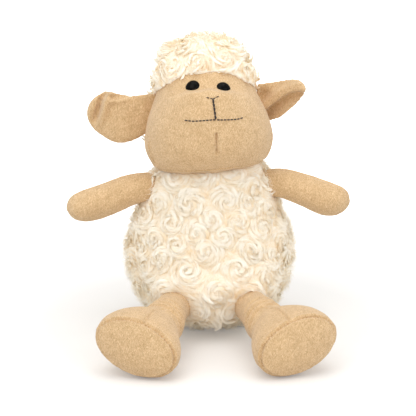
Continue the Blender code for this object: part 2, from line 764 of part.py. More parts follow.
def make_stitches(head, parent):
    wing = NOSE_WIDTH / 2.0
    middle = STITCH_OFFSET
    nose_height = MUZZLE_HEIGHT + BROW_RISE * NOSE_SHARE
    mouth_height = MUZZLE_HEIGHT + BROW_RISE * MOUTH_SHARE
    centre = (middle, nose_height)
    left = thread_line(head, (middle + wing, nose_height + NOSE_RISE), centre)
    right = thread_line(head, centre, (middle - wing, nose_height + NOSE_RISE))
    stitch("nose_thread", left + right[1:], parent)
    high = (middle, nose_height - BRIDGE_GAP)
    low = (middle, mouth_height + BRIDGE_GAP)
    stitch("bridge_thread", thread_line(head, high, low), parent)
    half = MOUTH_WIDTH / 2.0
    mouth = thread_line(head, (half, mouth_height), (-half, mouth_height), MOUTH_SAG)
    stitch("mouth_thread", mouth, parent)


def cap_profile(inner, outer, reach):
    """A round cap between two spheres about the pivot, out to a distance from the axis."""
    edge_outer = math.asin(reach / outer)
    edge_inner = math.asin(reach / inner)
    profile = []
    for step in range(CAP_STEPS + 1):
        angle = edge_outer * step / CAP_STEPS
        profile.append((outer * math.sin(angle), outer * math.cos(angle)))
    for step in range(CAP_STEPS + 1):
        angle = edge_inner * (1.0 - step / CAP_STEPS)
        profile.append((inner * math.sin(angle), inner * math.cos(angle)))
    return profile


def body_tuft_share(height):
    """The body's wool is smooth where it sits, and where it goes in under the head."""
    seated = ramp(height / (BELLY_HEIGHT * TUFT_FADE_SHARE))
    covered = ramp((height - NECK_PIVOT_HEIGHT - SHOULDER_RISE) / (HEAD_RISE / 2.0))
    return seated * (1.0 - covered)


def make_body():
    """The body's covers, base and fillings. The limbs' dishes are cut from all of them."""
    form = Form(body_mesh("body_form"))
    floor = half_space("floor", Vector(), -UP)
    cutters = []
    shoulder_place = Vector((0.0, -SHOULDER_FORWARD, NECK_PIVOT_HEIGHT + SHOULDER_RISE))
    for name, hand in SIDES.items():
        level = Matrix.Rotation(-hand * ARM_FORWARD[name], 3, "Z") @ (ACROSS * hand)
        direction = (level - UP * math.tan(ARM_DROOP[name])).normalized()
        point = form.surface_point(shoulder_place, ACROSS * hand)
        make_arm(name, point + direction * ARM_PROUD, direction, cutters)
        splay = Matrix.Rotation(hand * LEG_SPLAY, 3, "Z") @ FORWARD
        hip_place = Vector((hand * HIP_SPACING / 2.0, 0.0, BELLY_HEIGHT * HIP_HEIGHT_SHARE))
        point = form.surface_point(hip_place, FORWARD)
        make_leg(name, hand, point + splay * LEG_PROUD, splay, cutters, floor)
    panel_radius = SEAT_RADIUS * SEAT_PANEL_SHARE
    seat = disc_profile(panel_radius, WOOL_CLOTH - SEAT_FLAT_DEPTH, 0.0)
    turned("seat_panel", seat, Vector(), UP, "wool")
    seat_hole = disc_profile(panel_radius + SEAM_GAP, WOOL_CLOTH * 1.5, -WOOL_CLOTH)
    hole = turned("seat_hole", seat_hole, Vector(), UP)
    ahead, behind = seam_pair("side_seam", Vector(), FORWARD)
    room = cloth_room(form, WOOL_CLOTH)
    middle = Vector((0.0, 0.0, BELLY_HEIGHT))
    spans = (BODY_WIDTH / 2.0, BODY_DEPTH / 2.0, BELLY_HEIGHT * TUFT_SPAN_SHARE)
    centres = tuft_centres(form, Matrix.Identity(4), middle, spans)
    wool = tufted_mesh("body_wool", form, centres, body_tuft_share)
    wool_panel("body_front", wool, room, None, behind, hole, floor, *cutters)
    wool_panel("body_back", wool, room, None, ahead, hole, floor, *cutters)
    above, below = seam_pair("pellet_bag_top", Vector((0.0, 0.0, BELLY_HEIGHT * PELLET_BAG_SHARE)), UP)
    filling("body_stuffing", form, WOOL_CLOTH, "stuffing", None, below, *cutters)
    filling("pellet_bag", form, WOOL_CLOTH, "pellet_cloth", None, above, *cutters)
    pivot = Vector((0.0, 0.0, NECK_PIVOT_HEIGHT))
    points = [vertex.co for vertex in form.smoothed.vertices]
    return pivot, max((point - pivot).length for point in points if point.z > NECK_PIVOT_HEIGHT)


def make_head(pivot, dome_radius):
    """The head's covers, face and filling, over the body's round top."""
    head = Form(head_mesh("head_form"))
    hair = Form(head_mesh("hair_form", HAIR_PROUD))
    nod = pivot_empty("head_nod", pivot)
    turn = pivot_empty("head_turn", pivot, nod)
    inner = (dome_radius + FIT_GAP) / math.cos(math.pi / TURNED_STEPS)
    outer = inner + NECK_PAD_THICKNESS
    turned("neck_stuffing", cap_profile(inner, outer, NECK_PAD_RADIUS), pivot, UP, "stuffing", nod)
    pad_room = disc_profile(NECK_PAD_RADIUS + FIT_GAP, outer + FIT_GAP, 0.0)
    common = [ball("neck_dome_room", pivot, inner), turned("neck_pad_room", pad_room, pivot, UP)]
    for name, hand in SIDES.items():
        make_ear(name, hand, head, turn, common)
    face_cutters = []
    filling_cutters = []
    for name, hand in SIDES.items():
        make_eye(name, hand, head, turn, face_cutters, filling_cutters)
    lean = head_turn()
    hairline_height = BROW_HEIGHT + CROWN_RISE * HAIRLINE_SHARE
    hairline = lean @ Vector((0.0, -BROW_DEPTH * HAIRLINE_DEPTH_SHARE, hairline_height))
    rearward = lean.to_3x3() @ Vector((0.0, math.sin(HAIRLINE_SLOPE), math.cos(HAIRLINE_SLOPE)))
    hair_side, face_side = seam_pair("hairline", hairline, rearward)
    rear = lean.to_3x3() @ -FORWARD
    side_back = lean @ Vector((0.0, HAIR_SIDE_BACK, hairline_height))
    hair_back = half_space("hair_back", side_back - rear * SEAM_GAP, rear)
    cut(face_side, half_space("hair_back_room", side_back, rear))
    chin = lean @ Vector((0.0, 0.0, HEAD_BOTTOM + JAW_RISE * CHIN_SEAM_SHARE))
    above, below = seam_pair("chin_seam", chin, lean.to_3x3() @ UP)
    cloth = SHORT_PILE_CLOTH
    room = cloth_room(head, cloth)
    back = [hair_side, hair_back]
    panel("face_panel", head, room, "short_pile", turn, *back, below, *common, *face_cutters)
    panel("chin_gusset", head, room, "short_pile", turn, *back, above, *common)
    middle = Vector((0.0, 0.0, (HEAD_BOTTOM + HEAD_TOP) / 2.0))
    spans = (JAW_WIDTH / 2.0, JAW_DEPTH / 2.0, (HEAD_TOP - HEAD_BOTTOM) / 2.0)
    centres = tuft_centres(hair, lean, middle, spans)
    wool = tufted_mesh("hair_wool", hair, centres, lambda height: 1.0)
    wool_panel("hair_cap", wool, room, turn, face_side, *common)
    filling("head_stuffing", head, cloth, "stuffing", turn, *common, *filling_cutters)
    make_stitches(head, turn)


clear_scene()
PARTS = new_collection(COLLECTION_NAME)
CUTTERS = new_collection(CUTTER_COLLECTION_NAME)
neck_pivot, neck_dome = make_body()
make_head(neck_pivot, neck_dome)
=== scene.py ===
"""The looks of the sitting plush sheep: curly wool, short-pile cloth, glossy eyes and stitches.

Units are metres and +Z is up. The sheep faces -Y, and "left" is its own left, at +X. Each soft
form is lofted through stations, remeshed, puffed out as cloth between its seams, and subdivided.
Seams, folds and pile are then made as geometry on top.
"""
import math

import bmesh
import bpy
import numpy as np
from mathutils import Matrix, Vector, noise
from mathutils.bvhtree import BVHTree


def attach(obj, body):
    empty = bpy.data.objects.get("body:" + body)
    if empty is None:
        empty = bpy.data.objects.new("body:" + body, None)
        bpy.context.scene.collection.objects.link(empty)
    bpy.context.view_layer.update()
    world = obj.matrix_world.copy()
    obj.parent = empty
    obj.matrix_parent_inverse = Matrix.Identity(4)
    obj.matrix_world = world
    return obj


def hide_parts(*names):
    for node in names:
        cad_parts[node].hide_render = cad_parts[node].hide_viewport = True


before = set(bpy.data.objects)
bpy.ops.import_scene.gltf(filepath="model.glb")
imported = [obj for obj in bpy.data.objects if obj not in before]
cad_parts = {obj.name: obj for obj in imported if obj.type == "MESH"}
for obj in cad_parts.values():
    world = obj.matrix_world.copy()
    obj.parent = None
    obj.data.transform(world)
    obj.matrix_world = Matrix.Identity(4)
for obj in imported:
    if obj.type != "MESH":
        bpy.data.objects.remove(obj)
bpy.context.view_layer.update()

SIDES = {"left": 1.0, "right": -1.0}
UP = Vector((0.0, 0.0, 1.0))
FORWARD = Vector((0.0, -1.0, 0.0))
ACROSS = Vector((1.0, 0.0, 0.0))

# Rays are cast at the head from this far out.
RAY_START = 0.2

# Soft forms
LOFT_STEPS = 7
VOXEL = 0.0036
CLOTH_FRAMES = 20
CLOTH_PRESSURE = 4.0
PUFF_LIMIT = 0.0018
PIN_REACH = 0.0030
STITCH_PITCH = 0.0030
# The least heights above the floor
BODY_CLEARANCE = 0.0006
LEG_CLEARANCE = 0.0004
WOOL_CLEARANCE = 0.0008

# The head's lean and turn about its lowest point
HEAD_BOTTOM = 0.127
HEAD_ROLL = math.radians(-4.0)
HEAD_YAW = math.radians(3.0)

# Wool
TUFT_PITCH = 0.021
TUFT_WANDER = 0.7
TUFT_WANDER_STEP = 7.3
GOLDEN_ANGLE = math.radians(137.508)
ROSETTE_REACH = 0.0120
ROSETTE_RISE = 0.0020
ROSETTE_DIMPLE = 0.0016
BODY_MIDDLE = Vector((0.0, 0.0, 0.060))
BODY_SPANS = (0.069, 0.061, 0.078)
HAIR_MIDDLE = Vector((0.0, 0.0, 0.181))
HAIR_SPANS = (0.052, 0.050, 0.054)
# How neighbouring curls drift together, how tightly locks wind, and how round the ground is
DRIFT_SCALE = 130.0
DRIFT = 0.0012
SPIRAL_WINDING = 560.0
GROUND_RADIUS = 0.075
# A lock's strands start within its spread and gather towards its tip, highest in its middle.
LOCKS = {
    "length": 0.0100, "height": 0.0021, "ragged": 0.75, "wander": 0.0030, "steps": 4, "arch": 0.78,
    "radius": 0.00022, "flatness": 0.6, "strands": 18, "spread": 0.0020, "crown": 0.0006, "gather": 0.55,
}
HAIR_LOCKS = {
    "length": 0.0088, "height": 0.0036, "ragged": 0.70, "wander": 0.0045, "steps": 4, "arch": 0.64,
    "radius": 0.00024, "flatness": 0.6, "strands": 16, "spread": 0.0015, "crown": 0.0006, "gather": 0.70,
}
FUZZ = {
    "length": 0.0080, "height": 0.0046, "ragged": 0.7, "wander": 0.0050, "steps": 3, "arch": 0.46,
    "radius": 0.00016, "flatness": 0.8, "strands": 1, "spread": 0.0, "crown": 0.0, "gather": 0.0,
}
# Each layer of pile: name, kind, count, seed and number of pieces
BODY_PILE = [("body_locks", LOCKS, 2600, 12, 7), ("body_fuzz", FUZZ, 20000, 22, 3)]
HAIR_PILE = [("hair_locks", HAIR_LOCKS, 1250, 32, 3), ("hair_fuzz", FUZZ, 9500, 42, 1)]

# Light and camera
WHITE = (1.0, 1.0, 1.0)
WORLD_LIGHT = 0.77
LAMPS = [
    # name, place, aim, size, power
    ("key", (-0.7, -1.1, 1.3), (0.0, 0.0, 0.10), 1.1, 7.0),
    ("fill", (1.0, -1.1, 0.8), (0.0, 0.0, 0.10), 1.1, 4.5),
    ("front", (0.1, -1.6, 0.35), (0.0, 0.0, 0.10), 1.0, 2.3),
    ("top", (0.0, -0.1, 1.5), (0.0, 0.0, 0.0), 1.2, 7.4),
]
# The floor glows to the camera, least near the sheep. The distances are from the middle of the seat.
FLOOR_GLOW = 0.17
GLOW_NEAR = 0.13
GLOW_FAR = 0.65
# Pale strands pass light on between them many times.
DIFFUSE_BOUNCES = 10
ALL_BOUNCES = 14
CAMERA_ELEVATION = math.radians(13.0)
CAMERA_AZIMUTH = math.radians(-2.0)
CAMERA_DISTANCE = 1.1
CAMERA_TARGET = Vector((-0.002, -0.021, 0.0985))
CAMERA_LENS = 119.0


def lean_matrix():
    base = Vector((0.0, 0.0, HEAD_BOTTOM))
    turn = Matrix.Rotation(HEAD_YAW, 4, "Z") @ Matrix.Rotation(HEAD_ROLL, 4, "Y")
    return Matrix.Translation(base) @ turn @ Matrix.Translation(-base)


LEAN = lean_matrix()


# ---- forms ----

def add(name, data):
    thing = bpy.data.objects.new(name, data)
    bpy.context.scene.collection.objects.link(thing)
    return thing


def built(name, shape):
    """An object from a bmesh, its faces turned outwards."""
    bmesh.ops.recalc_face_normals(shape, faces=shape.faces)
    mesh = bpy.data.meshes.new(name)
    shape.to_mesh(mesh)
    shape.free()
    return add(name, mesh)


def smooth_step(share):
    share = np.clip(share, 0.0, 1.0)
    return share * share * (3.0 - 2.0 * share)


def through(rows, place):
    """A smooth curve through rows of numbers, at a place counted in rows."""
    last = len(rows) - 1
    index = min(int(place), last - 1)
    share = place - index
    before = rows[index - 1] if index > 0 else 2.0 * rows[0] - rows[1]
    after = rows[index + 2] if index + 2 <= last else 2.0 * rows[last] - rows[last - 1]
    first, second = rows[index], rows[index + 1]
    return 0.5 * (
        2.0 * first
        + (second - before) * share
        + (2.0 * before - 5.0 * first + 4.0 * second - after) * share ** 2
        + (3.0 * first - before - 3.0 * second + after) * share ** 3
    )


def loft(name, stations, side, up, segments):
    """A closed form. A station is its centre and its half sizes along side and up; the first and
    last have no size. The squares of the sizes are what runs smoothly, so the ends are round."""
    rows = np.array([[*centre, wide ** 2, high ** 2] for centre, wide, high in stations])
    last = len(rows) - 1
    places = []
    for index in range(last):
        for step in range(LOFT_STEPS):
            share = step / LOFT_STEPS
            if index == 0:
                share = 1.0 - math.cos(share * math.pi / 2.0)
            if index == last - 1:
                share = math.sin(share * math.pi / 2.0)
            places.append(index + share)
    rings = [through(rows, place) for place in places[1:]]
    form = bmesh.new()
    start = form.verts.new(stations[0][0])
    loops = []
    for ring in rings:
        centre = Vector(ring[:3])
        half_side = math.sqrt(max(ring[3], 1e-8))
        half_up = math.sqrt(max(ring[4], 1e-8))
        loop = []
        for segment in range(segments):
            angle = 2.0 * math.pi * segment / segments
            offset = side * math.cos(angle) * half_side + up * math.sin(angle) * half_up
            loop.append(form.verts.new(centre + offset))
        loops.append(loop)
    end = form.verts.new(stations[-1][0])
    for segment in range(segments):
        following = (segment + 1) % segments
        form.faces.new((start, loops[0][following], loops[0][segment]))
        form.faces.new((end, loops[-1][segment], loops[-1][following]))
        for lower, upper in zip(loops, loops[1:]):
            form.faces.new((lower[segment], lower[following], upper[following], upper[segment]))
    return built(name, form)


def apply_modifiers(thing):
    bpy.context.view_layer.update()
    graph = bpy.context.evaluated_depsgraph_get()
    mesh = bpy.data.meshes.new_from_object(thing.evaluated_get(graph), depsgraph=graph)
    old = thing.data
    thing.modifiers.clear()
    thing.data = mesh
    mesh.name = thing.name
    bpy.data.meshes.remove(old)
    return thing


def remeshed(thing, voxel=VOXEL):
    modifier = thing.modifiers.new("remesh", "REMESH")
    modifier.mode = "VOXEL"
    modifier.voxel_size = voxel
    return apply_modifiers(thing)


def subdivided(thing, levels):
    modifier = thing.modifiers.new("smooth", "SUBSURF")
    modifier.levels = levels
    modifier.render_levels = levels
    return apply_modifiers(thing)


def points_of(mesh):
    co = np.empty(len(mesh.vertices) * 3)
    mesh.vertices.foreach_get("co", co)
    return co.reshape(-1, 3)


def normals_of(mesh):
    normal = np.empty(len(mesh.vertices) * 3)
    mesh.vertices.foreach_get("normal", normal)
    return normal.reshape(-1, 3)


def set_points(mesh, co):
    mesh.vertices.foreach_set("co", co.ravel())
    mesh.update()


def line_distance(co, line):
    """Each point's distance from a line of points, and how far along the line it lies."""
    best = np.full(len(co), 1e9)
    along = np.zeros(len(co))
    line = np.array([list(point) for point in line])
    passed = 0.0
    for first, second in zip(line, line[1:]):
        run = second - first
        length = max(np.linalg.norm(run), 1e-9)
        share = np.clip(((co - first) @ run) / length ** 2, 0.0, 1.0)
        distance = np.linalg.norm(co - first - share[:, None] * run, axis=1)
        closer = distance < best
        best[closer] = distance[closer]
        along[closer] = passed + share[closer] * length
        passed += length
    return best, along


def puff(pieces):
    """Cloth under pressure, held along its seams. The movement of each point is capped."""
    rest = {}
    for thing, seams in pieces:
        co = points_of(thing.data)
        rest[thing.name] = co
        held = thing.vertex_groups.new(name="held")
        weight = np.zeros(len(co))
        for seam in seams:
            weight = np.maximum(weight, np.clip(1.6 - line_distance(co, seam)[0] / PIN_REACH, 0.0, 1.0))
        for index in np.nonzero(weight > 0.0)[0]:
            held.add([int(index)], float(weight[index]), "REPLACE")
        modifier = thing.modifiers.new("cloth", "CLOTH")
        settings = modifier.settings
        settings.quality = 4
        settings.mass = 0.2
        settings.tension_stiffness = 12.0
        settings.compression_stiffness = 12.0
        settings.shear_stiffness = 6.0
        settings.bending_stiffness = 0.4
        settings.use_pressure = True
        settings.uniform_pressure_force = CLOTH_PRESSURE
        settings.vertex_group_mass = "held"
        settings.effector_weights.gravity = 0.0
        modifier.collision_settings.use_collision = False
        modifier.point_cache.frame_start = 1
        modifier.point_cache.frame_end = CLOTH_FRAMES
    scene = bpy.context.scene
    for step in range(1, CLOTH_FRAMES + 1):
        scene.frame_set(step)
    graph = bpy.context.evaluated_depsgraph_get()
    moved = {}
    for thing, _ in pieces:
        moved[thing.name] = points_of(thing.evaluated_get(graph).to_mesh())
    for thing, _ in pieces:
        thing.modifiers.clear()
        thing.vertex_groups.clear()
        shift = moved[thing.name] - rest[thing.name]
        length = np.linalg.norm(shift, axis=1, keepdims=True)
        allowed = PUFF_LIMIT * (1.0 - np.exp(-length / PUFF_LIMIT))
        set_points(thing.data, rest[thing.name] + shift / np.maximum(length, 1e-9) * allowed)
    scene.frame_set(1)


def groove(thing, line, depth, width, give=0.4):
    """A sewn seam: a narrow valley along a line, puckered by its stitches, between fuller cloth.
    The give says how much of the depth the puckers and the fuller cloth have."""
    co = points_of(thing.data)
    normal = normals_of(thing.data)
    distance, along = line_distance(co, line)
    tight = 1.0 + give * np.sin(along * (2.0 * math.pi / STITCH_PITCH))
    valley = -depth * tight * np.exp(-(distance / width) ** 2)
    swell = depth * give * np.exp(-((distance - width * 2.2) / (width * 1.2)) ** 2)
    set_points(thing.data, co + normal * (valley + swell)[:, None])


def roughen(thing, scale, amount, seed):
    """Soft unevenness, as hand-stuffed cloth has."""
    co = points_of(thing.data)
    normal = normals_of(thing.data)
    offset = Vector((seed * 3.1, seed * 1.7, seed * 2.3))
    lift = np.array([noise.noise(Vector(point) * scale + offset) for point in co])
    set_points(thing.data, co + normal * (lift * amount)[:, None])


def tree_of(thing):
    mesh = thing.data
    points = [vertex.co.copy() for vertex in mesh.vertices]
    return BVHTree.FromPolygons(points, [tuple(face.vertices) for face in mesh.polygons])


def shade_smooth(thing):
    thing.data.polygons.foreach_set("use_smooth", [True] * len(thing.data.polygons))
    thing.data.update()


# ---- materials ----

def node_material(name, roughness, sheen=0.0, sheen_tint=WHITE, specular=0.25):
    result = bpy.data.materials.new(name)
    result.use_nodes = True
    shader = result.node_tree.nodes["Principled BSDF"]
    shader.inputs["Roughness"].default_value = roughness
    shader.inputs["Sheen Weight"].default_value = sheen
    shader.inputs["Sheen Roughness"].default_value = 0.5
    shader.inputs["Sheen Tint"].default_value = (*sheen_tint, 1.0)
    shader.inputs["Specular IOR Level"].default_value = specular
    return result, result.node_tree, shader


def noise_node(tree, scale, detail=2.0, distortion=0.0, stretch=None):
    coordinates = tree.nodes.new("ShaderNodeTexCoord")
    texture = tree.nodes.new("ShaderNodeTexNoise")
    texture.inputs["Scale"].default_value = scale
    texture.inputs["Detail"].default_value = detail
    texture.inputs["Distortion"].default_value = distortion
    source = coordinates.outputs["Object"]
    if stretch:
        lean = tree.nodes.new("ShaderNodeMapping")
        lean.inputs["Rotation"].default_value = (0.0, math.radians(35.0), 0.0)
        lean.inputs["Scale"].default_value = stretch
        tree.links.new(source, lean.inputs["Vector"])
        source = lean.outputs["Vector"]
    tree.links.new(source, texture.inputs["Vector"])
    return texture


def ramp_node(tree, source, stops):
    ramp = tree.nodes.new("ShaderNodeValToRGB")
    elements = ramp.color_ramp.elements
    while len(elements) < len(stops):
        elements.new(0.5)
    for element, (place, colour) in zip(elements, stops):
        element.position = place
        element.color = (*colour, 1.0)
    tree.links.new(source, ramp.inputs["Fac"])
    return ramp


def product_node(tree, first, second):
    """Two colours multiplied with each other."""
    mix = tree.nodes.new("ShaderNodeMix")
    mix.data_type = "RGBA"
    mix.blend_type = "MULTIPLY"
    mix.inputs["Factor"].default_value = 1.0
    tree.links.new(first, mix.inputs[6])
    tree.links.new(second, mix.inputs[7])
    return mix.outputs[2]


def bump_node(tree, shader, source, strength, distance):
    bump = tree.nodes.new("ShaderNodeBump")
    bump.inputs["Strength"].default_value = strength
    bump.inputs["Distance"].default_value = distance
    tree.links.new(source, bump.inputs["Height"])
    tree.links.new(bump.outputs["Normal"], shader.inputs["Normal"])


def short_pile_material():
    """Tan short-pile cloth: fine streaks where the pile leans, over slow changes in how it lies."""
    result, tree, shader = node_material("short_pile", 0.92, 0.4, (1.0, 0.93, 0.82))
    lay = noise_node(tree, 150.0, 2.0, 0.6)
    grain = noise_node(tree, 1250.0, 3.0, 1.2, (1.5, 1.0, 0.65))
    flecks = ramp_node(tree, grain.outputs["Fac"], [(0.34, TAN_DARK), (0.50, TAN), (0.66, TAN_LIGHT)])
    patches = ramp_node(tree, lay.outputs["Fac"], [(0.35, (0.91, 0.89, 0.86)), (0.65, WHITE)])
    colour = product_node(tree, flecks.outputs["Color"], patches.outputs["Color"])
    tree.links.new(colour, shader.inputs["Base Color"])
    bump_node(tree, shader, grain.outputs["Fac"], 0.8, 0.0008)
    return result


def wool_strand_material():
    """A strand is darker at its root, and its lock is paler the higher that it stands: painted shade deep
    in the pile and in the gaps between locks.
    """
    result, tree, shader = node_material("wool_curls", 0.85, 0.15, (1.0, 0.97, 0.90))
    along = tree.nodes.new("ShaderNodeAttribute")
    along.attribute_name = "along"
    lock = tree.nodes.new("ShaderNodeAttribute")
    lock.attribute_name = "lock"
    # Painted shade: darker at the roots and on low locks, paler at the high tips.
    run = ramp_node(tree, along.outputs["Fac"], [(0.0, WOOL_SHADED_ROOT), (0.30, WOOL), (1.0, WOOL_TIP)])
    tone = ramp_node(tree, lock.outputs["Fac"], [(0.0, WOOL_GAP_SHADE), (0.55, WHITE)])
    colour = product_node(tree, run.outputs["Color"], tone.outputs["Color"])
    tree.links.new(colour, shader.inputs["Base Color"])
    return result


def mottled_material(name, finish, grain, stops, bump=None):
    """Colour that runs through the stops with a noise, which may also be the relief."""
    result, tree, shader = node_material(name, *finish)
    texture = noise_node(tree, *grain)
    tone = ramp_node(tree, texture.outputs["Fac"], stops)
    tree.links.new(tone.outputs["Color"], shader.inputs["Base Color"])
    if bump:
        bump_node(tree, shader, texture.outputs["Fac"], *bump)
    return result


TAN = (0.730, 0.497, 0.268)
TAN_DARK = (0.56, 0.350, 0.167)
TAN_LIGHT = (0.88, 0.662, 0.408)
# Painted shade: the root colour and the gap colour stand in for the shade deep in the pile and between
# locks.
WOOL_SHADED_ROOT = (0.96, 0.86, 0.68)
WOOL = (0.98, 0.94, 0.84)
WOOL_TIP = (0.99, 0.965, 0.90)
WOOL_GAP_SHADE = (0.97, 0.89, 0.76)
SHORT_PILE = short_pile_material()
WOOL_STRAND = wool_strand_material()
# Painted shade: the backing is a darker, warmer cream than the strands, for the gaps between locks, with
# a random mottle on it.
WOOL_BASE = mottled_material(
    "wool_base", (0.95, 0.2, (1.0, 0.95, 0.86)), (420.0, 3.0, 1.0),
    [(0.35, (0.92, 0.82, 0.66)), (0.65, (0.98, 0.92, 0.81))], (0.6, 0.001),
)
EYE = mottled_material(
    "glossy_eye", (0.06, 0.0, WHITE, 0.07), (300.0, 2.0),
    [(0.3, (0.002, 0.002, 0.002)), (0.7, (0.006, 0.004, 0.003))],
)
THREAD = mottled_material(
    "dark_thread", (0.6, 0.2), (2600.0, 1.0),
    [(0.35, (0.020, 0.013, 0.011)), (0.7, (0.07, 0.05, 0.045))], (0.5, 0.0002),
)
PLASTIC = mottled_material(
    "washer_plastic", (0.4,), (400.0, 2.0),
    [(0.3, (0.78, 0.79, 0.79)), (0.7, (0.88, 0.89, 0.89))],
)


def finish_piece(thing, material, body, nodes=(), smooth=True):
    thing.data.materials.clear()
    thing.data.materials.append(material)
    if smooth:
        shade_smooth(thing)
    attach(thing, body)
    if nodes:
        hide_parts(*nodes)


# ---- pile ----

def scatter(thing, count, seed, keep=None):
    """Points spread evenly by area over a mesh, with their normals."""
    mesh = thing.data
    mesh.calc_loop_triangles()
    corners = np.empty(len(mesh.loop_triangles) * 3, dtype=np.int64)
    mesh.loop_triangles.foreach_get("vertices", corners)
    corners = corners.reshape(-1, 3)
    co = points_of(mesh)
    normal = normals_of(mesh)
    a, b, c = co[corners[:, 0]], co[corners[:, 1]], co[corners[:, 2]]
    area = np.linalg.norm(np.cross(b - a, c - a), axis=1)
    if keep is not None:
        area = area * keep((a + b + c) / 3.0)
    random = np.random.RandomState(seed)
    total = np.cumsum(area) / area.sum()
    picks = np.searchsorted(total, (np.arange(count) + random.rand(count)) / count)
    picks = np.minimum(picks, len(area) - 1)
    u, v = random.rand(count, 1), random.rand(count, 1)
    over = (u + v) > 1.0
    u[over], v[over] = 1.0 - u[over], 1.0 - v[over]
    places = a[picks] * (1.0 - u - v) + b[picks] * u + c[picks] * v
    first, second, third = (normal[corners[picks, corner]] for corner in range(3))
    normals = first * (1.0 - u - v) + second * u + third * v
    normals /= np.linalg.norm(normals, axis=1, keepdims=True)
    order = random.permutation(count)
    return places[order], normals[order]


def strands_mesh(name, paths, radii, sides, flatness):
    """Closed thin strands of three sides, a flat one up, each with its own cell of the bake's UV."""
    count, rows, _ = paths.shape
    tangent = np.gradient(paths, axis=1)
    tangent /= np.maximum(np.linalg.norm(tangent, axis=2, keepdims=True), 1e-9)
    across = np.cross(tangent, sides)
    across /= np.maximum(np.linalg.norm(across, axis=2, keepdims=True), 1e-9)
    upward = np.cross(across, tangent)
    ring = []
    for corner in range(3):
        angle = 2.0 * math.pi * corner / 3.0 - math.pi / 2.0
        ring.append(across * math.cos(angle) + upward * (math.sin(angle) * flatness))
    ring = np.stack(ring, axis=2)
    vertices = paths[:, :, None, :] + ring * radii[:, :, None, None]
    vertices = vertices.reshape(-1, 3)
    base = (np.arange(count) * rows * 3)[:, None]
    quads = []
    cells = []
    for row in range(rows - 1):
        for corner in range(3):
            after = (corner + 1) % 3
            here, there = row * 3, (row + 1) * 3
            quads.append([here + corner, there + corner, there + after, here + after])
            low, high = row / (rows - 1), (row + 1) / (rows - 1)
            left, right = corner / 3.0, (corner + 1) / 3.0
            cells.append([(left, low), (left, high), (right, high), (right, low)])
    quads = (base[:, None] + np.array(quads)[None]).reshape(-1)
    caps = [[0, 1, 2], [(rows - 1) * 3 + 2, (rows - 1) * 3 + 1, (rows - 1) * 3]]
    cap_cells = [[(0.6, 0.0), (0.3, 0.0), (0.0, 0.0)], [(0.0, 1.0), (0.3, 1.0), (0.6, 1.0)]]
    triangles = (base[:, None] + np.array(caps)[None]).reshape(-1)
    quad_count = count * (rows - 1) * 3
    loop_total = np.concatenate([np.full(quad_count, 4), np.full(count * 2, 3)])
    loop_start = np.concatenate([[0], np.cumsum(loop_total)[:-1]])
    mesh = bpy.data.meshes.new(name)
    mesh.vertices.add(len(vertices))
    mesh.vertices.foreach_set("co", vertices.ravel())
    mesh.loops.add(int(loop_total.sum()))
    mesh.loops.foreach_set("vertex_index", np.concatenate([quads, triangles]).astype(np.int32))
    mesh.polygons.add(len(loop_total))
    mesh.polygons.foreach_set("loop_start", loop_start.astype(np.int32))
    mesh.polygons.foreach_set("use_smooth", np.zeros(len(loop_total), dtype=bool))
    mesh.update(calc_edges=True)
    grid = math.ceil(math.sqrt(count))
    index = np.arange(count)
    corner_uv = np.stack([index % grid, index // grid], axis=1)[:, None, None, :]
    quad_uv = (corner_uv + 0.08 + 0.84 * np.array(cells)[None]) / grid
    cap_uv = (corner_uv + 0.08 + 0.84 * np.array(cap_cells)[None]) / grid
    uv = np.concatenate([quad_uv.reshape(-1, 2), cap_uv.reshape(-1, 2)])
    layer = mesh.uv_layers.new(name="OFBake")
    layer.data.foreach_set("uv", uv.ravel().astype(np.float32))
    along = mesh.attributes.new("along", "FLOAT", "POINT")
    share = np.repeat(np.linspace(0.0, 1.0, rows), 3)
    along.data.foreach_set("value", np.tile(share, count).astype(np.float32))
    return mesh


def rosette_centres(base, frame_of_base, middle, spans):
    """The places of the wool's rosettes, the same as those of the solids' tufts, and their turns."""
    wide, deep, tall = spans
    area = 4.0 * math.pi * (wide * deep + deep * tall + tall * wide) / 3.0
    count = round(area / (TUFT_PITCH ** 2 * math.sqrt(0.75)))
    tree = tree_of(base)
    start = frame_of_base @ middle
    centres = []
    for index in range(count):
        wander = TUFT_WANDER * math.sin(index * TUFT_WANDER_STEP) / math.sqrt(count)
        rise = max(-1.0, min(1.0, 1.0 - (2.0 * index + 1.0) / count + wander))
        level = math.sqrt(1.0 - rise * rise)
        angle = GOLDEN_ANGLE * index
        direction = Vector((wide * level * math.cos(angle), deep * level * math.sin(angle), tall * rise))
        point = tree.ray_cast(start, frame_of_base.to_3x3() @ direction.normalized())[0]
        if point:
            centres.append(point)
    turns = [1.0 if math.sin(index * 2.7) > 0.0 else -1.0 for index in range(len(centres))]
    return np.array([list(centre) for centre in centres]), np.array(turns)


def nearest_centre(points, centres):
    index = np.zeros(len(points), dtype=np.int64)
    best = np.full(len(points), 1e9)
    for number, centre in enumerate(centres):
        distance = np.linalg.norm(points - centre, axis=1)
        closer = distance < best
        index[closer] = number
        best[closer] = distance[closer]
    return index, best


def mound(reach):
    """The height of a rosette at a distance from its centre, from 0 at its edge to 1."""
    dome = np.cos(np.clip(reach / ROSETTE_REACH, 0.0, 1.0) * math.pi / 2.0) ** 1.3
    return dome - 0.35 * np.exp(-(reach / ROSETTE_DIMPLE) ** 2)


def raise_rosettes(thing, centres):
    co = points_of(thing.data)
    normal = normals_of(thing.data)
    _, reach = nearest_centre(co, centres)
    co += normal * (mound(reach) * ROSETTE_RISE)[:, None]
    co[:, 2] = np.maximum(co[:, 2], BODY_CLEARANCE)
    set_points(thing.data, co)


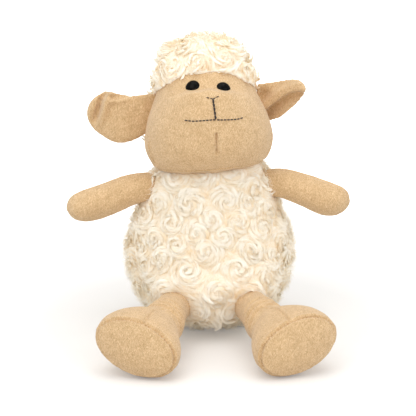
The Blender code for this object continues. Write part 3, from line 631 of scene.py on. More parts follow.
def curl_paths(places, normals, centres, turns, kind, seed):
    """Curls that sweep round their rosette's centre, and how high each one's lock stands."""
    random = np.random.RandomState(seed)
    count = len(places)
    index, _ = nearest_centre(places, centres)
    spoke = places - centres[index]
    spoke -= normals * np.sum(spoke * normals, axis=1, keepdims=True)
    reach = np.maximum(np.linalg.norm(spoke, axis=1), 0.0006)
    spoke /= np.maximum(np.linalg.norm(spoke, axis=1, keepdims=True), 1e-6)
    turn = turns[index]
    around = np.cross(normals, spoke) * turn[:, None]
    drift = np.array([noise.noise_vector(Vector(place) * DRIFT_SCALE) for place in places])
    # Locks are long along the sweep and narrow across it.
    angle = np.arctan2(spoke[:, 2] + 0.3 * spoke[:, 0], spoke[:, 0] + spoke[:, 1])
    spiral = reach * SPIRAL_WINDING - angle * 0.9 * turn
    lock = np.array([noise.noise(Vector((a, b * 1.1, c * 3.7))) for a, b, c in zip(spiral, angle, index)])
    lock = np.clip(0.5 + lock * 0.9, 0.0, 1.0)
    size = kind["length"] * (0.7 + 0.6 * random.rand(count))
    sweep = np.minimum(size / reach, 2.4)
    ragged = kind["ragged"]
    tall = kind["height"] * (1.0 - ragged + ragged * (0.7 * lock + 0.6 * random.rand(count)))
    pull = 0.12 + 0.22 * random.rand(count)
    wander = (random.rand(count, 3) - 0.5) * kind["wander"]
    steps = kind["steps"]
    paths = np.empty((count, steps + 1, 3))
    for step in range(steps + 1):
        share = step / steps
        swing = sweep * share
        radius = reach * (1.0 - pull * share)
        along_spoke = radius * np.cos(swing) - reach
        along_turn = radius * np.sin(swing)
        rise = tall * math.sin(math.pi * (0.04 + kind["arch"] * share)) - 0.0002
        bulge = (np.hypot(along_spoke, along_turn)) ** 2 / (2.0 * GROUND_RADIUS)
        paths[:, step] = (
            places
            + spoke * along_spoke[:, None]
            + around * along_turn[:, None]
            + normals * (rise - bulge)[:, None]
            + (drift * DRIFT + wander) * share
        )
    return paths, lock


def inside_any(points, trees):
    """Which points lie inside any of the closed forms."""
    result = np.zeros(len(points), dtype=bool)
    for tree in trees:
        for index, point in enumerate(points):
            if result[index]:
                continue
            nearest, normal, _, _ = tree.find_nearest(Vector(point))
            if (Vector(point) - nearest).dot(normal) < 0.0:
                result[index] = True
    return result


def strands_of_locks(places, normals, paths, kind, seed):
    """The strands of each lock, side by side and gathered at the tip."""
    random = np.random.RandomState(seed)
    count, rows, _ = paths.shape
    many = kind["strands"]
    level = np.cross(normals, [0.31, 0.17, 0.93])
    level /= np.linalg.norm(level, axis=1, keepdims=True)
    other = np.cross(normals, level)
    angle = 2.0 * math.pi * random.rand(count, many, 1)
    reach = np.sqrt(random.rand(count, many, 1))
    offset = (level[:, None] * np.cos(angle) + other[:, None] * np.sin(angle)) * reach * kind["spread"]
    crown = normals[:, None] * (1.0 - reach ** 2) * kind["crown"]
    grip = 1.0 - kind["gather"] * np.linspace(0.0, 1.0, rows)
    spread = offset[:, :, None] * grip[None, None, :, None] + crown[:, :, None]
    return (paths[:, None] + spread).reshape(-1, rows, 3)


def wool(name, base, body, centres, turns, kind, count, seed, split, trees, keep):
    """Curly pile over a form, in pieces by the sector that their roots lie in."""
    places, normals = scatter(base, count, seed, keep)
    paths, lock = curl_paths(places, normals, centres, turns, kind, seed + 3)
    paths = strands_of_locks(places, normals, paths, kind, seed + 6)
    places, normals, lock = (np.repeat(rows, kind["strands"], axis=0) for rows in (places, normals, lock))
    paths[:, :, 2] = np.maximum(paths[:, :, 2], WOOL_CLEARANCE)
    clear = ~inside_any(paths[:, -1], trees)
    clear &= ~inside_any(paths[:, 1], trees)
    paths, normals, places, lock = paths[clear], normals[clear], places[clear], lock[clear]
    steps = kind["steps"]
    share = np.linspace(0.0, 1.0, steps + 1)
    taper = 1.0 - 0.75 * share ** 3
    random = np.random.RandomState(seed + 4)
    radii = kind["radius"] * (0.7 + 0.6 * random.rand(len(paths)))[:, None] * taper[None]
    sides = np.repeat(normals[:, None, :], steps + 1, axis=1)
    bearing = np.arctan2(places[:, 1], places[:, 0])
    order = np.argsort(bearing)
    for part, chosen in enumerate(np.array_split(order, split)):
        title = f"{name}_{part + 1}"
        mesh = strands_mesh(title, paths[chosen], radii[chosen], sides[chosen], kind["flatness"])
        tone = mesh.attributes.new("lock", "FLOAT", "POINT")
        tone.data.foreach_set("value", np.repeat(lock[chosen], (steps + 1) * 3).astype(np.float32))
        finish_piece(add(title, mesh), WOOL_STRAND, body, smooth=False)


# ---- body ----

BODY_STATIONS = [
    # height, half width, half depth
    (0.0012, 0.0, 0.0),
    (0.0012, 0.0320, 0.0262),
    (0.0080, 0.0442, 0.0380),
    (0.0190, 0.0534, 0.0480),
    (0.0300, 0.0594, 0.0532),
    (0.0430, 0.0636, 0.0565),
    (0.0560, 0.0654, 0.0576),
    (0.0690, 0.0644, 0.0563),
    (0.0820, 0.0606, 0.0533),
    (0.0940, 0.0552, 0.0496),
    (0.1050, 0.0486, 0.0460),
    (0.1150, 0.0446, 0.0434),
    (0.1250, 0.0418, 0.0408),
    (0.1350, 0.0340, 0.0340),
    (0.1430, 0.0, 0.0),
]


def body_form():
    stations = [(Vector((0.0, 0.0, height)), wide, deep) for height, wide, deep in BODY_STATIONS]
    return remeshed(loft("body_base", stations, ACROSS, -FORWARD, 48))


# ---- head ----

HEAD_STATIONS = [
    # height, half width, half depth, forward
    (0.1265, 0.0, 0.0, 0.0085),
    (0.1293, 0.0325, 0.0320, 0.0085),
    (0.1367, 0.0462, 0.0445, 0.0112),
    (0.1500, 0.0512, 0.0492, 0.0138),
    (0.1620, 0.0500, 0.0508, 0.0142),
    (0.1740, 0.0468, 0.0508, 0.0140),
    (0.1840, 0.0424, 0.0496, 0.0130),
    (0.1930, 0.0384, 0.0462, 0.0104),
    (0.2020, 0.0350, 0.0402, 0.0062),
    (0.2120, 0.0322, 0.0348, 0.0020),
    (0.2220, 0.0285, 0.0295, 0.0),
    (0.2270, 0.0215, 0.0225, 0.0),
    (0.2305, 0.0, 0.0, 0.0),
]
# The crease under the eyes, above the muzzle: across and height, in the head's own frame
CREASE = [
    (-0.034, 0.1905), (-0.0165, 0.1958), (-0.0110, 0.1963), (-0.0052, 0.1964), (0.0010, 0.1975),
    (0.0069, 0.1952), (0.0119, 0.1943), (0.0171, 0.1938), (0.034, 0.1895),
]
# The depth and width of each seam of the head
HEAD_GROOVES = {
    "chin": (0.0010, 0.0011), "centre": (0.0019, 0.0009),
    "left_dart": (0.0014, 0.0010), "right_dart": (0.0014, 0.0010),
}
EYE_PLACES = {"left": (0.0111, 0.1965), "right": (-0.0113, 0.1991)}
EYE_RADIUS = 0.0063
EYE_DOME = 0.0042
EYE_RIM = 0.0008
EYE_BACK = 0.0022
EYE_SETBACK = 0.0028
EYE_STEPS = 12
EYE_SEGMENTS = 40
STITCH_STEPS = 7
THREAD_CORNERS = 8
# Each thread: the length of a stitch, the gap after it, the thread's radius, and its lines of places
# as across and height
THREADS = {
    "nose": (0.0026, 0.0004, 0.00038, [
        [(-0.0030, 0.1936), (0.0018, 0.1922)],
        [(0.0018, 0.1922), (0.0066, 0.1938)],
    ]),
    "bridge": (0.0026, 0.0002, 0.00078, [
        [(0.0018, 0.1920), (0.0021, 0.1850), (0.0024, 0.1774)],
    ]),
    "mouth": (0.0022, 0.0005, 0.00050, [
        [(-0.0207, 0.1775), (-0.0147, 0.1768), (-0.0083, 0.1769), (-0.0022, 0.1771), (0.0024, 0.1769)],
        [(0.0034, 0.1767), (0.0106, 0.1759), (0.0189, 0.1752), (0.0238, 0.1755)],
    ]),
}
HAIR_GROW = 0.0022
HAIR_VOXEL = 0.0028
HAIR_THICKNESS = 0.0020


def head_form():
    stations = []
    for height, wide, deep, forward in HEAD_STATIONS:
        stations.append((Vector((0.0, -forward, height)), wide, deep))
    return remeshed(loft("head", stations, ACROSS, -FORWARD, 48))


def face_line(tree, places):
    """Points on the head's front, in the head's own frame, at places given as across and height."""
    return [tree.ray_cast(Vector((across, -RAY_START, height)), -FORWARD)[0] for across, height in places]


def head_seams(tree):
    chin = []
    for angle in range(-115, 116, 5):
        turn = math.radians(angle)
        direction = Vector((math.sin(turn), -math.cos(turn), 0.0))
        rise = 0.0006 * math.cos(turn * 2.0)
        origin = Vector((0.0, -0.011, 0.1356 + rise))
        point, _, _, _ = tree.ray_cast(origin, direction)
        chin.append(point)
    return {
        "chin": chin,
        "centre": face_line(tree, [(0.0020, 0.1660), (0.0016, 0.1520), (0.0008, 0.1310)]),
        "left_dart": side_line(tree, 1.0, [(-0.0290, 0.1550), (-0.0290, 0.1480), (-0.0300, 0.1400)]),
        "right_dart": side_line(tree, -1.0, [(-0.0300, 0.1570), (-0.0300, 0.1490), (-0.0310, 0.1410)]),
    }


def side_line(tree, hand, places):
    """Points on the head's side, at places given as depth and height."""
    starts = [Vector((hand * RAY_START, depth, height)) for depth, height in places]
    return [tree.ray_cast(start, -ACROSS * hand)[0] for start in starts]


def shape_face(thing):
    """The muzzle's upper edge rises in front of the eyes, and the forehead behind it is set back."""
    co = points_of(thing.data)
    across = np.array([point[0] for point in CREASE])
    height = np.array([point[1] for point in CREASE])
    crease = np.interp(co[:, 0], across, height)
    front = smooth_step((-co[:, 1] - 0.022) / 0.012)
    wide = 1.0 - 0.55 * smooth_step((np.abs(co[:, 0] - 0.0005) - 0.017) / 0.006)
    wide *= 1.0 - smooth_step((np.abs(co[:, 0] - 0.0005) - 0.026) / 0.010)
    above = co[:, 2] - crease
    muzzle = np.exp(-(np.minimum(above, 0.0) / 0.0070) ** 2) * (1.0 - smooth_step(above / 0.0020 + 0.30))
    socket = np.exp(-((above - 0.0030) / 0.0040) ** 2)
    shift = np.zeros_like(co)
    shift[:, 1] = -0.0034 * muzzle + 0.0022 * socket
    shift[:, 2] = 0.0027 * muzzle + 0.0022 * smooth_step((0.1500 - co[:, 2]) / 0.016)
    set_points(thing.data, co + shift * (front * wide)[:, None])


# ---- limbs ----

ARM_SPINES = {
    # Each station: centre, half size
    "right": [
        ((-0.0400, -0.0085, 0.1165), 0.0),
        ((-0.0440, -0.0088, 0.1160), 0.0090),
        ((-0.0520, -0.0095, 0.1143), 0.0118),
        ((-0.0620, -0.0105, 0.1123), 0.0125),
        ((-0.0720, -0.0120, 0.1090), 0.0130),
        ((-0.0820, -0.0132, 0.1050), 0.0132),
        ((-0.0920, -0.0145, 0.1016), 0.0133),
        ((-0.1020, -0.0158, 0.0990), 0.0125),
        ((-0.1095, -0.0166, 0.0979), 0.0096),
        ((-0.1150, -0.0170, 0.0973), 0.0),
    ],
    "left": [
        ((0.0400, -0.0070, 0.1180), 0.0),
        ((0.0440, -0.0080, 0.1178), 0.0088),
        ((0.0520, -0.0100, 0.1172), 0.0112),
        ((0.0610, -0.0130, 0.1163), 0.0118),
        ((0.0710, -0.0160, 0.1132), 0.0126),
        ((0.0810, -0.0190, 0.1096), 0.0132),
        ((0.0905, -0.0220, 0.1066), 0.0136),
        ((0.0990, -0.0245, 0.1048), 0.0128),
        ((0.1055, -0.0262, 0.1040), 0.0100),
        ((0.1105, -0.0275, 0.1035), 0.0),
    ],
}
HIP = {"left": Vector((0.02496, -0.05675, 0.029)), "right": Vector((-0.02496, -0.05674, 0.029))}
LEG_SPLAY = math.radians(17.0)
TOE_LIFT = math.radians(20.0)
LEG_REACH = 0.102
# Each station of the leg: reach from the hip, toe shift, half size along the toe and across
LEG_STATIONS = [
    (-0.0200, 0.0, 0.0, 0.0),
    (-0.0150, 0.0, 0.0095, 0.0095),
    (0.0, 0.0, 0.0133, 0.0133),
    (0.0110, 0.0, 0.0136, 0.0136),
    (0.0250, 0.0, 0.0150, 0.0150),
    (0.0400, 0.0, 0.0163, 0.0158),
    (0.0530, 0.0018, 0.0174, 0.0170),
    (0.0620, 0.0052, 0.0218, 0.0190),
    (0.0720, 0.0070, 0.0282, 0.0211),
    (0.0820, 0.0070, 0.0318, 0.0220),
    (0.0900, 0.0065, 0.0328, 0.0222),
    (0.0965, 0.0065, 0.0310, 0.0212),
    (0.1000, 0.0065, 0.0255, 0.0176),
    (0.1022, 0.0065, 0.0130, 0.0092),
    (0.1026, 0.0065, 0.0, 0.0),
]
# How far the leg's root stands further out than the hip
LEG_ROOT_OUT = 0.0036
# How far the wool swells out round the roots of the limbs
LEG_SWELL = 0.0125
ARM_SWELL = 0.0035
SOLE_SEAM_REACH = 0.0968
SOLE_SEAM_HALF = (0.0306, 0.0209)


def arm_form(name):
    spine = ARM_SPINES[name]
    first, last = Vector(spine[0][0]), Vector(spine[-1][0])
    direction = (last - first).normalized()
    side = UP.cross(direction).normalized()
    up = direction.cross(side).normalized()
    stations = [(Vector(centre), half, half) for centre, half in spine]
    return remeshed(loft("arm_" + name, stations, side, up, 32)), side, up


def arm_seams(name, side, up):
    """The two seams of an arm, above and below, from the shoulder round the hand."""
    spine = ARM_SPINES[name]
    outward = side if side.y < 0.0 else -side
    lines = []
    for turn, sign in ((math.radians(24.0), -1.0), (math.radians(10.0), 1.0)):
        line = []
        for centre, half in spine[1:]:
            spoke = (up * sign * math.cos(turn) + outward * math.sin(turn)).normalized()
            line.append(Vector(centre) + spoke * (half + 0.0006))
        lines.append(line)
    return lines


def leg_axes(name, droop):
    hand = SIDES[name]
    splay = Matrix.Rotation(hand * LEG_SPLAY, 3, "Z") @ FORWARD
    level = UP.cross(splay).normalized()
    direction = Matrix.Rotation(droop, 3, level) @ splay
    level = UP.cross(direction).normalized()
    up = direction.cross(level).normalized()
    outward = level if level.x * hand > 0.0 else -level
    toe = (outward * math.cos(TOE_LIFT) + up * math.sin(TOE_LIFT)).normalized()
    width = direction.cross(toe).normalized()
    return direction, toe, width


def leg_form(name):
    """The leg, let down until its foot rests on the floor."""
    droop = 0.0
    for _ in range(3):
        direction, toe, width = leg_axes(name, droop)
        lowest = 1.0
        for reach, shift, long_half, wide_half in LEG_STATIONS:
            centre = HIP[name] + direction * reach + toe * shift
            extent = math.hypot(long_half * toe.z, wide_half * width.z)
            lowest = min(lowest, centre.z - extent)
        droop += math.asin((lowest - 0.0012) / LEG_REACH)
    direction, toe, width = leg_axes(name, droop)
    stations = []
    for reach, shift, long_half, wide_half in LEG_STATIONS:
        out = LEG_ROOT_OUT * (1.0 - smooth_step((reach - 0.020) / 0.045))
        root = Vector((SIDES[name] * out, 0.0, 0.0))
        stations.append((HIP[name] + direction * reach + toe * shift + root, long_half, wide_half))
    return remeshed(loft("leg_" + name, stations, toe, width, 40)), direction, toe, width


def leg_seams(name, direction, toe, width):
    sole = []
    centre = HIP[name] + direction * SOLE_SEAM_REACH + toe * 0.0065
    for step in range(49):
        angle = 2.0 * math.pi * step / 48.0
        spoke = toe * math.cos(angle) * SOLE_SEAM_HALF[0] + width * math.sin(angle) * SOLE_SEAM_HALF[1]
        sole.append(centre + spoke)
    top = width if width.z > 0.0 else -width
    instep = []
    for reach, shift, _, wide_half in LEG_STATIONS[5:12]:
        instep.append(HIP[name] + direction * reach + toe * shift + top * wide_half)
    return {"sole": sole, "instep": instep, "top": top}


def ankle_folds(thing, name, direction, toe, top):
    """Soft creases across the top of the ankle, where the foot bends up."""
    co = points_of(thing.data)
    normal = normals_of(thing.data)
    rel = co - np.array(HIP[name])
    reach = rel @ np.array(direction)
    over = smooth_step(((rel @ np.array(top)) + 0.002) / 0.012)
    bend = (rel @ np.array(toe)) * 0.25
    lift = np.zeros(len(co))
    for place, depth in ((0.0300, 0.0010), (0.0395, 0.0020), (0.0490, 0.0017)):
        lift -= depth * np.exp(-((reach + bend - place) / 0.0019) ** 2)
        lift += depth * 0.6 * np.exp(-((reach + bend - place - 0.0042) / 0.0026) ** 2)
    set_points(thing.data, co + normal * (lift * over)[:, None])


# ---- ears ----

EAR_ALONG = 56
EAR_ACROSS = 44
EAR_VOXEL = 0.0013
# Each row of an ear, from root to tip: x, lowest and highest z, and y
EAR_ROWS = {
    "right": [
        (-0.0420, 0.1620, 0.1880, -0.0010),
        (-0.0500, 0.1570, 0.1884, -0.0030),
        (-0.0580, 0.1524, 0.1874, -0.0045),
        (-0.0660, 0.1497, 0.1874, -0.0060),
        (-0.0740, 0.1491, 0.1894, -0.0060),
        (-0.0800, 0.1508, 0.1908, -0.0050),
        (-0.0860, 0.1540, 0.1892, -0.0035),
        (-0.0915, 0.1577, 0.1856, -0.0020),
        (-0.0955, 0.1630, 0.1813, -0.0010),
        (-0.0981, 0.1722, 0.1722, 0.0),
    ],
    "left": [
        (0.0380, 0.1675, 0.1950, 0.0),
        (0.0440, 0.1655, 0.1962, -0.0015),
        (0.0500, 0.1664, 0.1975, -0.0045),
        (0.0560, 0.1697, 0.1993, -0.0100),
        (0.0620, 0.1758, 0.2014, -0.0165),
        (0.0670, 0.1812, 0.2021, -0.0220),
        (0.0705, 0.1858, 0.2008, -0.0260),
        (0.0730, 0.1896, 0.1980, -0.0288),
        (0.0741, 0.1940, 0.1940, -0.0300),
    ],
}
EAR_THICKNESS = {"right": 0.0062, "left": 0.0050}
# Lines of folds, as x and z
FLAP_EDGE = [
    (-0.0798, 0.1895), (-0.0842, 0.1821), (-0.0856, 0.1760), (-0.0876, 0.1700), (-0.0900, 0.1640),
]
TUCK = [(-0.0785, 0.1866), (-0.0730, 0.1862), (-0.0660, 0.1872)]
TUCK_LIP = [(-0.0775, 0.1833), (-0.0720, 0.1836), (-0.0650, 0.1852)]
ROLL = [
    (0.0430, 0.1775), (0.0495, 0.1835), (0.0552, 0.1890), (0.0622, 0.1940), (0.0685, 0.1968),
    (0.0715, 0.1962),
]


def fold_distance(x, z, line):
    """The distance from a fold's line, positive on the line's left side as it runs."""
    best, signed = 1e9, 1e9
    for (ax, az), (bx, bz) in zip(line, line[1:]):
        run_x, run_z = bx - ax, bz - az
        share = ((x - ax) * run_x + (z - az) * run_z) / (run_x ** 2 + run_z ** 2)
        share = max(0.0, min(1.0, share))
        gap_x, gap_z = x - ax - share * run_x, z - az - share * run_z
        distance = math.hypot(gap_x, gap_z)
        if distance < best:
            best = distance
            signed = math.copysign(distance, run_x * gap_z - run_z * gap_x)
    return signed


def hill(value, middle, width):
    return math.exp(-((value - middle) / width) ** 2)


def step_up(value, start, width):
    share = max(0.0, min(1.0, (value - start) / width))
    return share * share * (3.0 - 2.0 * share)


def right_ear_relief(x, z, _):
    """A full flap whose edge stands in front of the tip, and a small tuck at the top."""
    edge = -fold_distance(x, z, FLAP_EDGE)
    fade = step_up(z, 0.1590, 0.0170)
    relief = 0.0052 * hill(edge, -0.0014, 0.0034) - 0.0078 * hill(edge, 0.0028, 0.0019)
    relief += 0.0012 * hill(edge, 0.0085, 0.0040)
    relief *= fade
    relief -= 0.0054 * hill(abs(fold_distance(x, z, TUCK)), 0.0, 0.0017)
    relief += 0.0020 * hill(abs(fold_distance(x, z, TUCK_LIP)), 0.0, 0.0018)
    return relief


def left_ear_relief(x, z, rise):
    """The upper edge is rolled forward and sewn down, over a hollow with a raised lower rim."""
    below = -fold_distance(x, z, ROLL)
    roll = math.exp(-(abs(below) / 0.0034) ** 4)
    relief = 0.0048 * roll - 0.0014 * hill(below, -0.0006, 0.0007)
    hollow = step_up(below, 0.0026, 0.0016) * (1.0 - step_up(below, 0.0060, 0.0110))
    relief -= 0.0058 * hollow
    relief += 0.0014 * hill(rise, 0.0014, 0.0016)
    relief -= 0.0034 * math.exp(-(math.hypot(x - 0.0440, z - 0.1870) / 0.0042) ** 2)
    relief -= 0.0012 * step_up(-below, 0.0036, 0.0020) * (1.0 - step_up(x, 0.0600, 0.0080))
    return relief


def ear_form(name, relief):
    """An ear of two cloths: its outline from the rows, its front shaped by the relief."""
    rows = []
    for x, low, high, y in EAR_ROWS[name]:
        rows.append([x, (low + high) / 2.0, ((high - low) / 2.0) ** 2, y])
    rows = np.array(rows)
    last = len(rows) - 1
    shape = bmesh.new()
    fronts, backs = [], []
    for row in range(EAR_ALONG + 1):
        x, middle, square, y = through(rows, last * math.sin(math.pi / 2.0 * row / EAR_ALONG))
        half = math.sqrt(max(square, 1e-9))
        front, back = [], []
        for column in range(EAR_ACROSS + 1):
            across = -math.cos(math.pi * column / EAR_ACROSS)
            z = middle + half * across
            full = EAR_THICKNESS[name] / 2.0 * math.sqrt(max(0.0, 1.0 - across ** 4))
            full *= min(1.0, math.sqrt(half / 0.006))
            lift = relief(x, z, half * (1.0 + across)) * min(1.0, full / 0.0012)
            front.append(shape.verts.new((x, y - full - lift, z)))
            back.append(shape.verts.new((x, y + full - min(lift, 0.0), z)))
        fronts.append(front)
        backs.append(back)
    for rows_of in (fronts, backs):
        for low, high in zip(rows_of, rows_of[1:]):
            for column in range(EAR_ACROSS):
                shape.faces.new((low[column], low[column + 1], high[column + 1], high[column]))
    for end in (0, -1):
        for column in range(EAR_ACROSS):
            front, back = fronts[end], backs[end]
            shape.faces.new((front[column], front[column + 1], back[column + 1], back[column]))
    bmesh.ops.remove_doubles(shape, verts=shape.verts, dist=0.00005)
    return remeshed(built("ear_" + name, shape), EAR_VOXEL)


# ---- eyes and stitches ----

def eye_piece(name, tree):
    """A glossy dome with a rounded rim, set into the face."""
    across, height = EYE_PLACES[name]
    start = Vector((across, -RAY_START, height + EYE_SETBACK))
    point, normal, _, _ = tree.ray_cast(start, -FORWARD)
    point = point - UP * EYE_SETBACK
    normal = (normal + FORWARD * 0.5).normalized()
    profile = []
    for step in range(EYE_STEPS + 1):
        angle = math.pi / 2.0 * step / EYE_STEPS
        profile.append((EYE_RADIUS * math.sin(angle), EYE_DOME * math.cos(angle)))
    profile += [(EYE_RADIUS, -EYE_RIM), (EYE_RADIUS * 0.92, -EYE_BACK), (0.0, -EYE_BACK)]
    shape = bmesh.new()
    rings = []
    for radius, level in profile:
        if radius < 1e-6:
            rings.append([shape.verts.new((0.0, 0.0, level))])
            continue
        ring = []
        for segment in range(EYE_SEGMENTS):
            angle = 2.0 * math.pi * segment / EYE_SEGMENTS
            ring.append(shape.verts.new((radius * math.cos(angle), radius * math.sin(angle), level)))
        rings.append(ring)
    for upper, lower in zip(rings, rings[1:]):
        for segment in range(EYE_SEGMENTS):
            after = (segment + 1) % EYE_SEGMENTS
            if len(upper) == 1:
                shape.faces.new((upper[0], lower[segment], lower[after]))
            elif len(lower) == 1:
                shape.faces.new((upper[segment], lower[0], upper[after]))
            else:
                shape.faces.new((upper[segment], lower[segment], lower[after], upper[after]))
    turn = normal.to_track_quat("Z", "Y").to_matrix().to_4x4()
    place = Matrix.Translation(point - normal * 0.0006) @ turn
    bmesh.ops.transform(shape, matrix=LEAN @ place, verts=shape.verts)
    finish_piece(built("eye_dome_" + name, shape), EYE, "head", ["eye_" + name])


def stitched_line(shape, tree, places, stitch, gap, radius):
    """Stitches along a line on the face: each rises from the cloth, runs and dives back in."""
    points = [Vector((across, 0.0, height)) for across, height in places]
    lengths = [0.0]
    for first, second in zip(points, points[1:]):
        lengths.append(lengths[-1] + (second - first).length)
    total = lengths[-1]
    count = max(1, round((total + gap) / (stitch + gap)))
    pitch = (total + gap) / count

    def at(distance):
        for index in range(len(points) - 1):
            if distance <= lengths[index + 1] or index == len(points) - 2:
                share = (distance - lengths[index]) / (lengths[index + 1] - lengths[index])
                place = points[index].lerp(points[index + 1], share)
                break
        return tree.ray_cast(Vector((place.x, -RAY_START, place.z)), -FORWARD)[:2]

    for number in range(count):
        start = pitch * number
        rows = []
        for step in range(STITCH_STEPS):
            share = step / (STITCH_STEPS - 1)
            point, normal = at(start + (pitch - gap) * share)
            lift = radius * (-0.9 + 1.75 * math.sin(math.pi * share) ** 0.5)
            thick = radius * (0.45 + 0.55 * math.sin(math.pi * share) ** 0.5)
            rows.append((point + normal * lift, normal, thick))
        rings = []
        for index, (point, normal, thick) in enumerate(rows):
            ahead = rows[min(index + 1, STITCH_STEPS - 1)][0] - rows[max(index - 1, 0)][0]
            side = ahead.cross(normal).normalized()
            top = side.cross(ahead).normalized()
            ring = []
            for corner in range(THREAD_CORNERS):
                angle = 2.0 * math.pi * corner / THREAD_CORNERS
                spoke = side * math.cos(angle) + top * math.sin(angle)
                ring.append(shape.verts.new(point + spoke * thick))
            rings.append(ring)
        for low, high in zip(rings, rings[1:]):
            for corner in range(THREAD_CORNERS):
                after = (corner + 1) % THREAD_CORNERS
                shape.faces.new((low[corner], low[after], high[after], high[corner]))
        shape.faces.new(list(reversed(rings[0])))
        shape.faces.new(rings[-1])


def stitches_piece(name, tree):
    shape = bmesh.new()
    stitch, gap, radius, lines = THREADS[name]
    for places in lines:
        stitched_line(shape, tree, places, stitch, gap, radius)
    bmesh.ops.transform(shape, matrix=LEAN, verts=shape.verts)
    finish_piece(built(name + "_stitches", shape), THREAD, "head", [name + "_thread"])


# ---- building ----

def swell_round_limbs(thing):
    """The wool swells out round the roots of the limbs."""
    co = points_of(thing.data)
    shift = np.zeros_like(co)
    for name in SIDES:
        direction = np.array(legs[name][1])
        rel = co - np.array(HIP[name])
        off = rel - (rel @ direction)[:, None] * direction
        reach = np.linalg.norm(off, axis=1)
        near = np.exp(-(np.maximum(reach - 0.0150, 0.0) / 0.0140) ** 2)
        near *= smooth_step((-co[:, 1] - 0.015) / 0.025) * smooth_step((co[:, 2] - 0.006) / 0.016)
        shift += direction * (LEG_SWELL * near)[:, None]
        first, last = (np.array(ARM_SPINES[name][index][0]) for index in (1, 4))
        direction = (last - first) / np.linalg.norm(last - first)
        rel = co - first
        reach = np.linalg.norm(rel - (rel @ direction)[:, None] * direction, axis=1)
        near = np.exp(-(np.maximum(reach - 0.011, 0.0) / 0.009) ** 2) * (co[:, 0] * SIDES[name] > 0.0)
        shift += direction * (ARM_SWELL * near)[:, None]
    length = np.linalg.norm(shift, axis=1, keepdims=True)
    shift *= np.minimum(1.0, LEG_SWELL / np.maximum(length, 1e-9))
    co += shift
    co[:, 2] = np.maximum(co[:, 2], BODY_CLEARANCE)
    set_points(thing.data, co)


def hair_share(points):
    """How far points of the head, in its own frame, lie within the hair. Its edge slopes over the
    forehead, comes down at the temples, and behind the ears it runs down the back of the head."""
    slope = math.radians(33.0)
    rise = (points[:, 1] + 0.0415) * math.sin(slope) + (points[:, 2] - 0.2125) * math.cos(slope)
    out = np.abs(points[:, 0])
    rise = rise - 0.35 * np.maximum(out - 0.016, 0.0) + 0.05 * points[:, 0]
    rise = rise + 0.0110 * smooth_step((out - 0.012) / 0.026) * (1.0 - smooth_step((out - 0.037) / 0.006))
    rise = rise + 0.0014 * (1.0 - smooth_step((out - 0.010) / 0.015))
    behind = points[:, 1] - 0.0075
    return np.maximum(rise, behind)


def make_hair():
    """The hair's backing: the head's form a little larger, kept only where hair grows."""
    stations = []
    for height, wide, deep, forward in HEAD_STATIONS:
        if wide:
            grow, lift = HAIR_GROW, 0.0
        else:
            grow, lift = 0.0, HAIR_GROW if height > 0.2 else -0.0018
        stations.append((Vector((0.0, -forward, height + lift)), wide + grow, deep + grow))
    thing = remeshed(loft("hair_base", stations, ACROSS, -FORWARD, 48), HAIR_VOXEL)
    shape = bmesh.new()
    shape.from_mesh(thing.data)
    gone = []
    for face in shape.faces:
        centre = face.calc_center_median()
        if hair_share(np.array([list(centre)]))[0] < 0.0008:
            gone.append(face)
    bmesh.ops.delete(shape, geom=gone, context="FACES")
    shape.to_mesh(thing.data)
    shape.free()
    modifier = thing.modifiers.new("thick", "SOLIDIFY")
    modifier.thickness = HAIR_THICKNESS
    modifier.offset = -1.0
    apply_modifiers(thing)
    return subdivided(thing, 1)


body = body_form()
head = head_form()
arms = {name: arm_form(name) for name in SIDES}
legs = {name: leg_form(name) for name in SIDES}
shape_face(head)
seams = head_seams(tree_of(head))
limb_seams = {}
for name in SIDES:
    limb_seams[name] = {"arm": arm_seams(name, arms[name][1], arms[name][2])}
    limb_seams[name].update(leg_seams(name, *legs[name][1:]))

to_puff = [(head, list(seams.values())), (body, [])]
for name in SIDES:
    to_puff.append((arms[name][0], limb_seams[name]["arm"]))
    to_puff.append((legs[name][0], [limb_seams[name]["sole"], limb_seams[name]["instep"]]))
puff(to_puff)

# Head
subdivided(head, 2)
for key, (depth, width) in HEAD_GROOVES.items():
    groove(head, seams[key], depth, width)
roughen(head, 38.0, 0.0006, 1.0)
face_tree = tree_of(head)
hair = make_hair()
head.data.transform(LEAN)
hair.data.transform(LEAN)
head_nodes = ["face_panel", "chin_gusset", "head_stuffing"]
finish_piece(head, SHORT_PILE, "head", head_nodes)

for name in SIDES:
    eye_piece(name, face_tree)
for name in THREADS:
    stitches_piece(name, face_tree)

# Ears
ear_pieces = {}
for name, relief in (("right", right_ear_relief), ("left", left_ear_relief)):
    ear = subdivided(ear_form(name, relief), 1)
    roughen(ear, 60.0, 0.0005, 4.0)
    nodes = [f"ear_{name}_front", f"ear_{name}_back"]
    finish_piece(ear, SHORT_PILE, "ear_" + name, nodes)
    ear_pieces[name] = ear

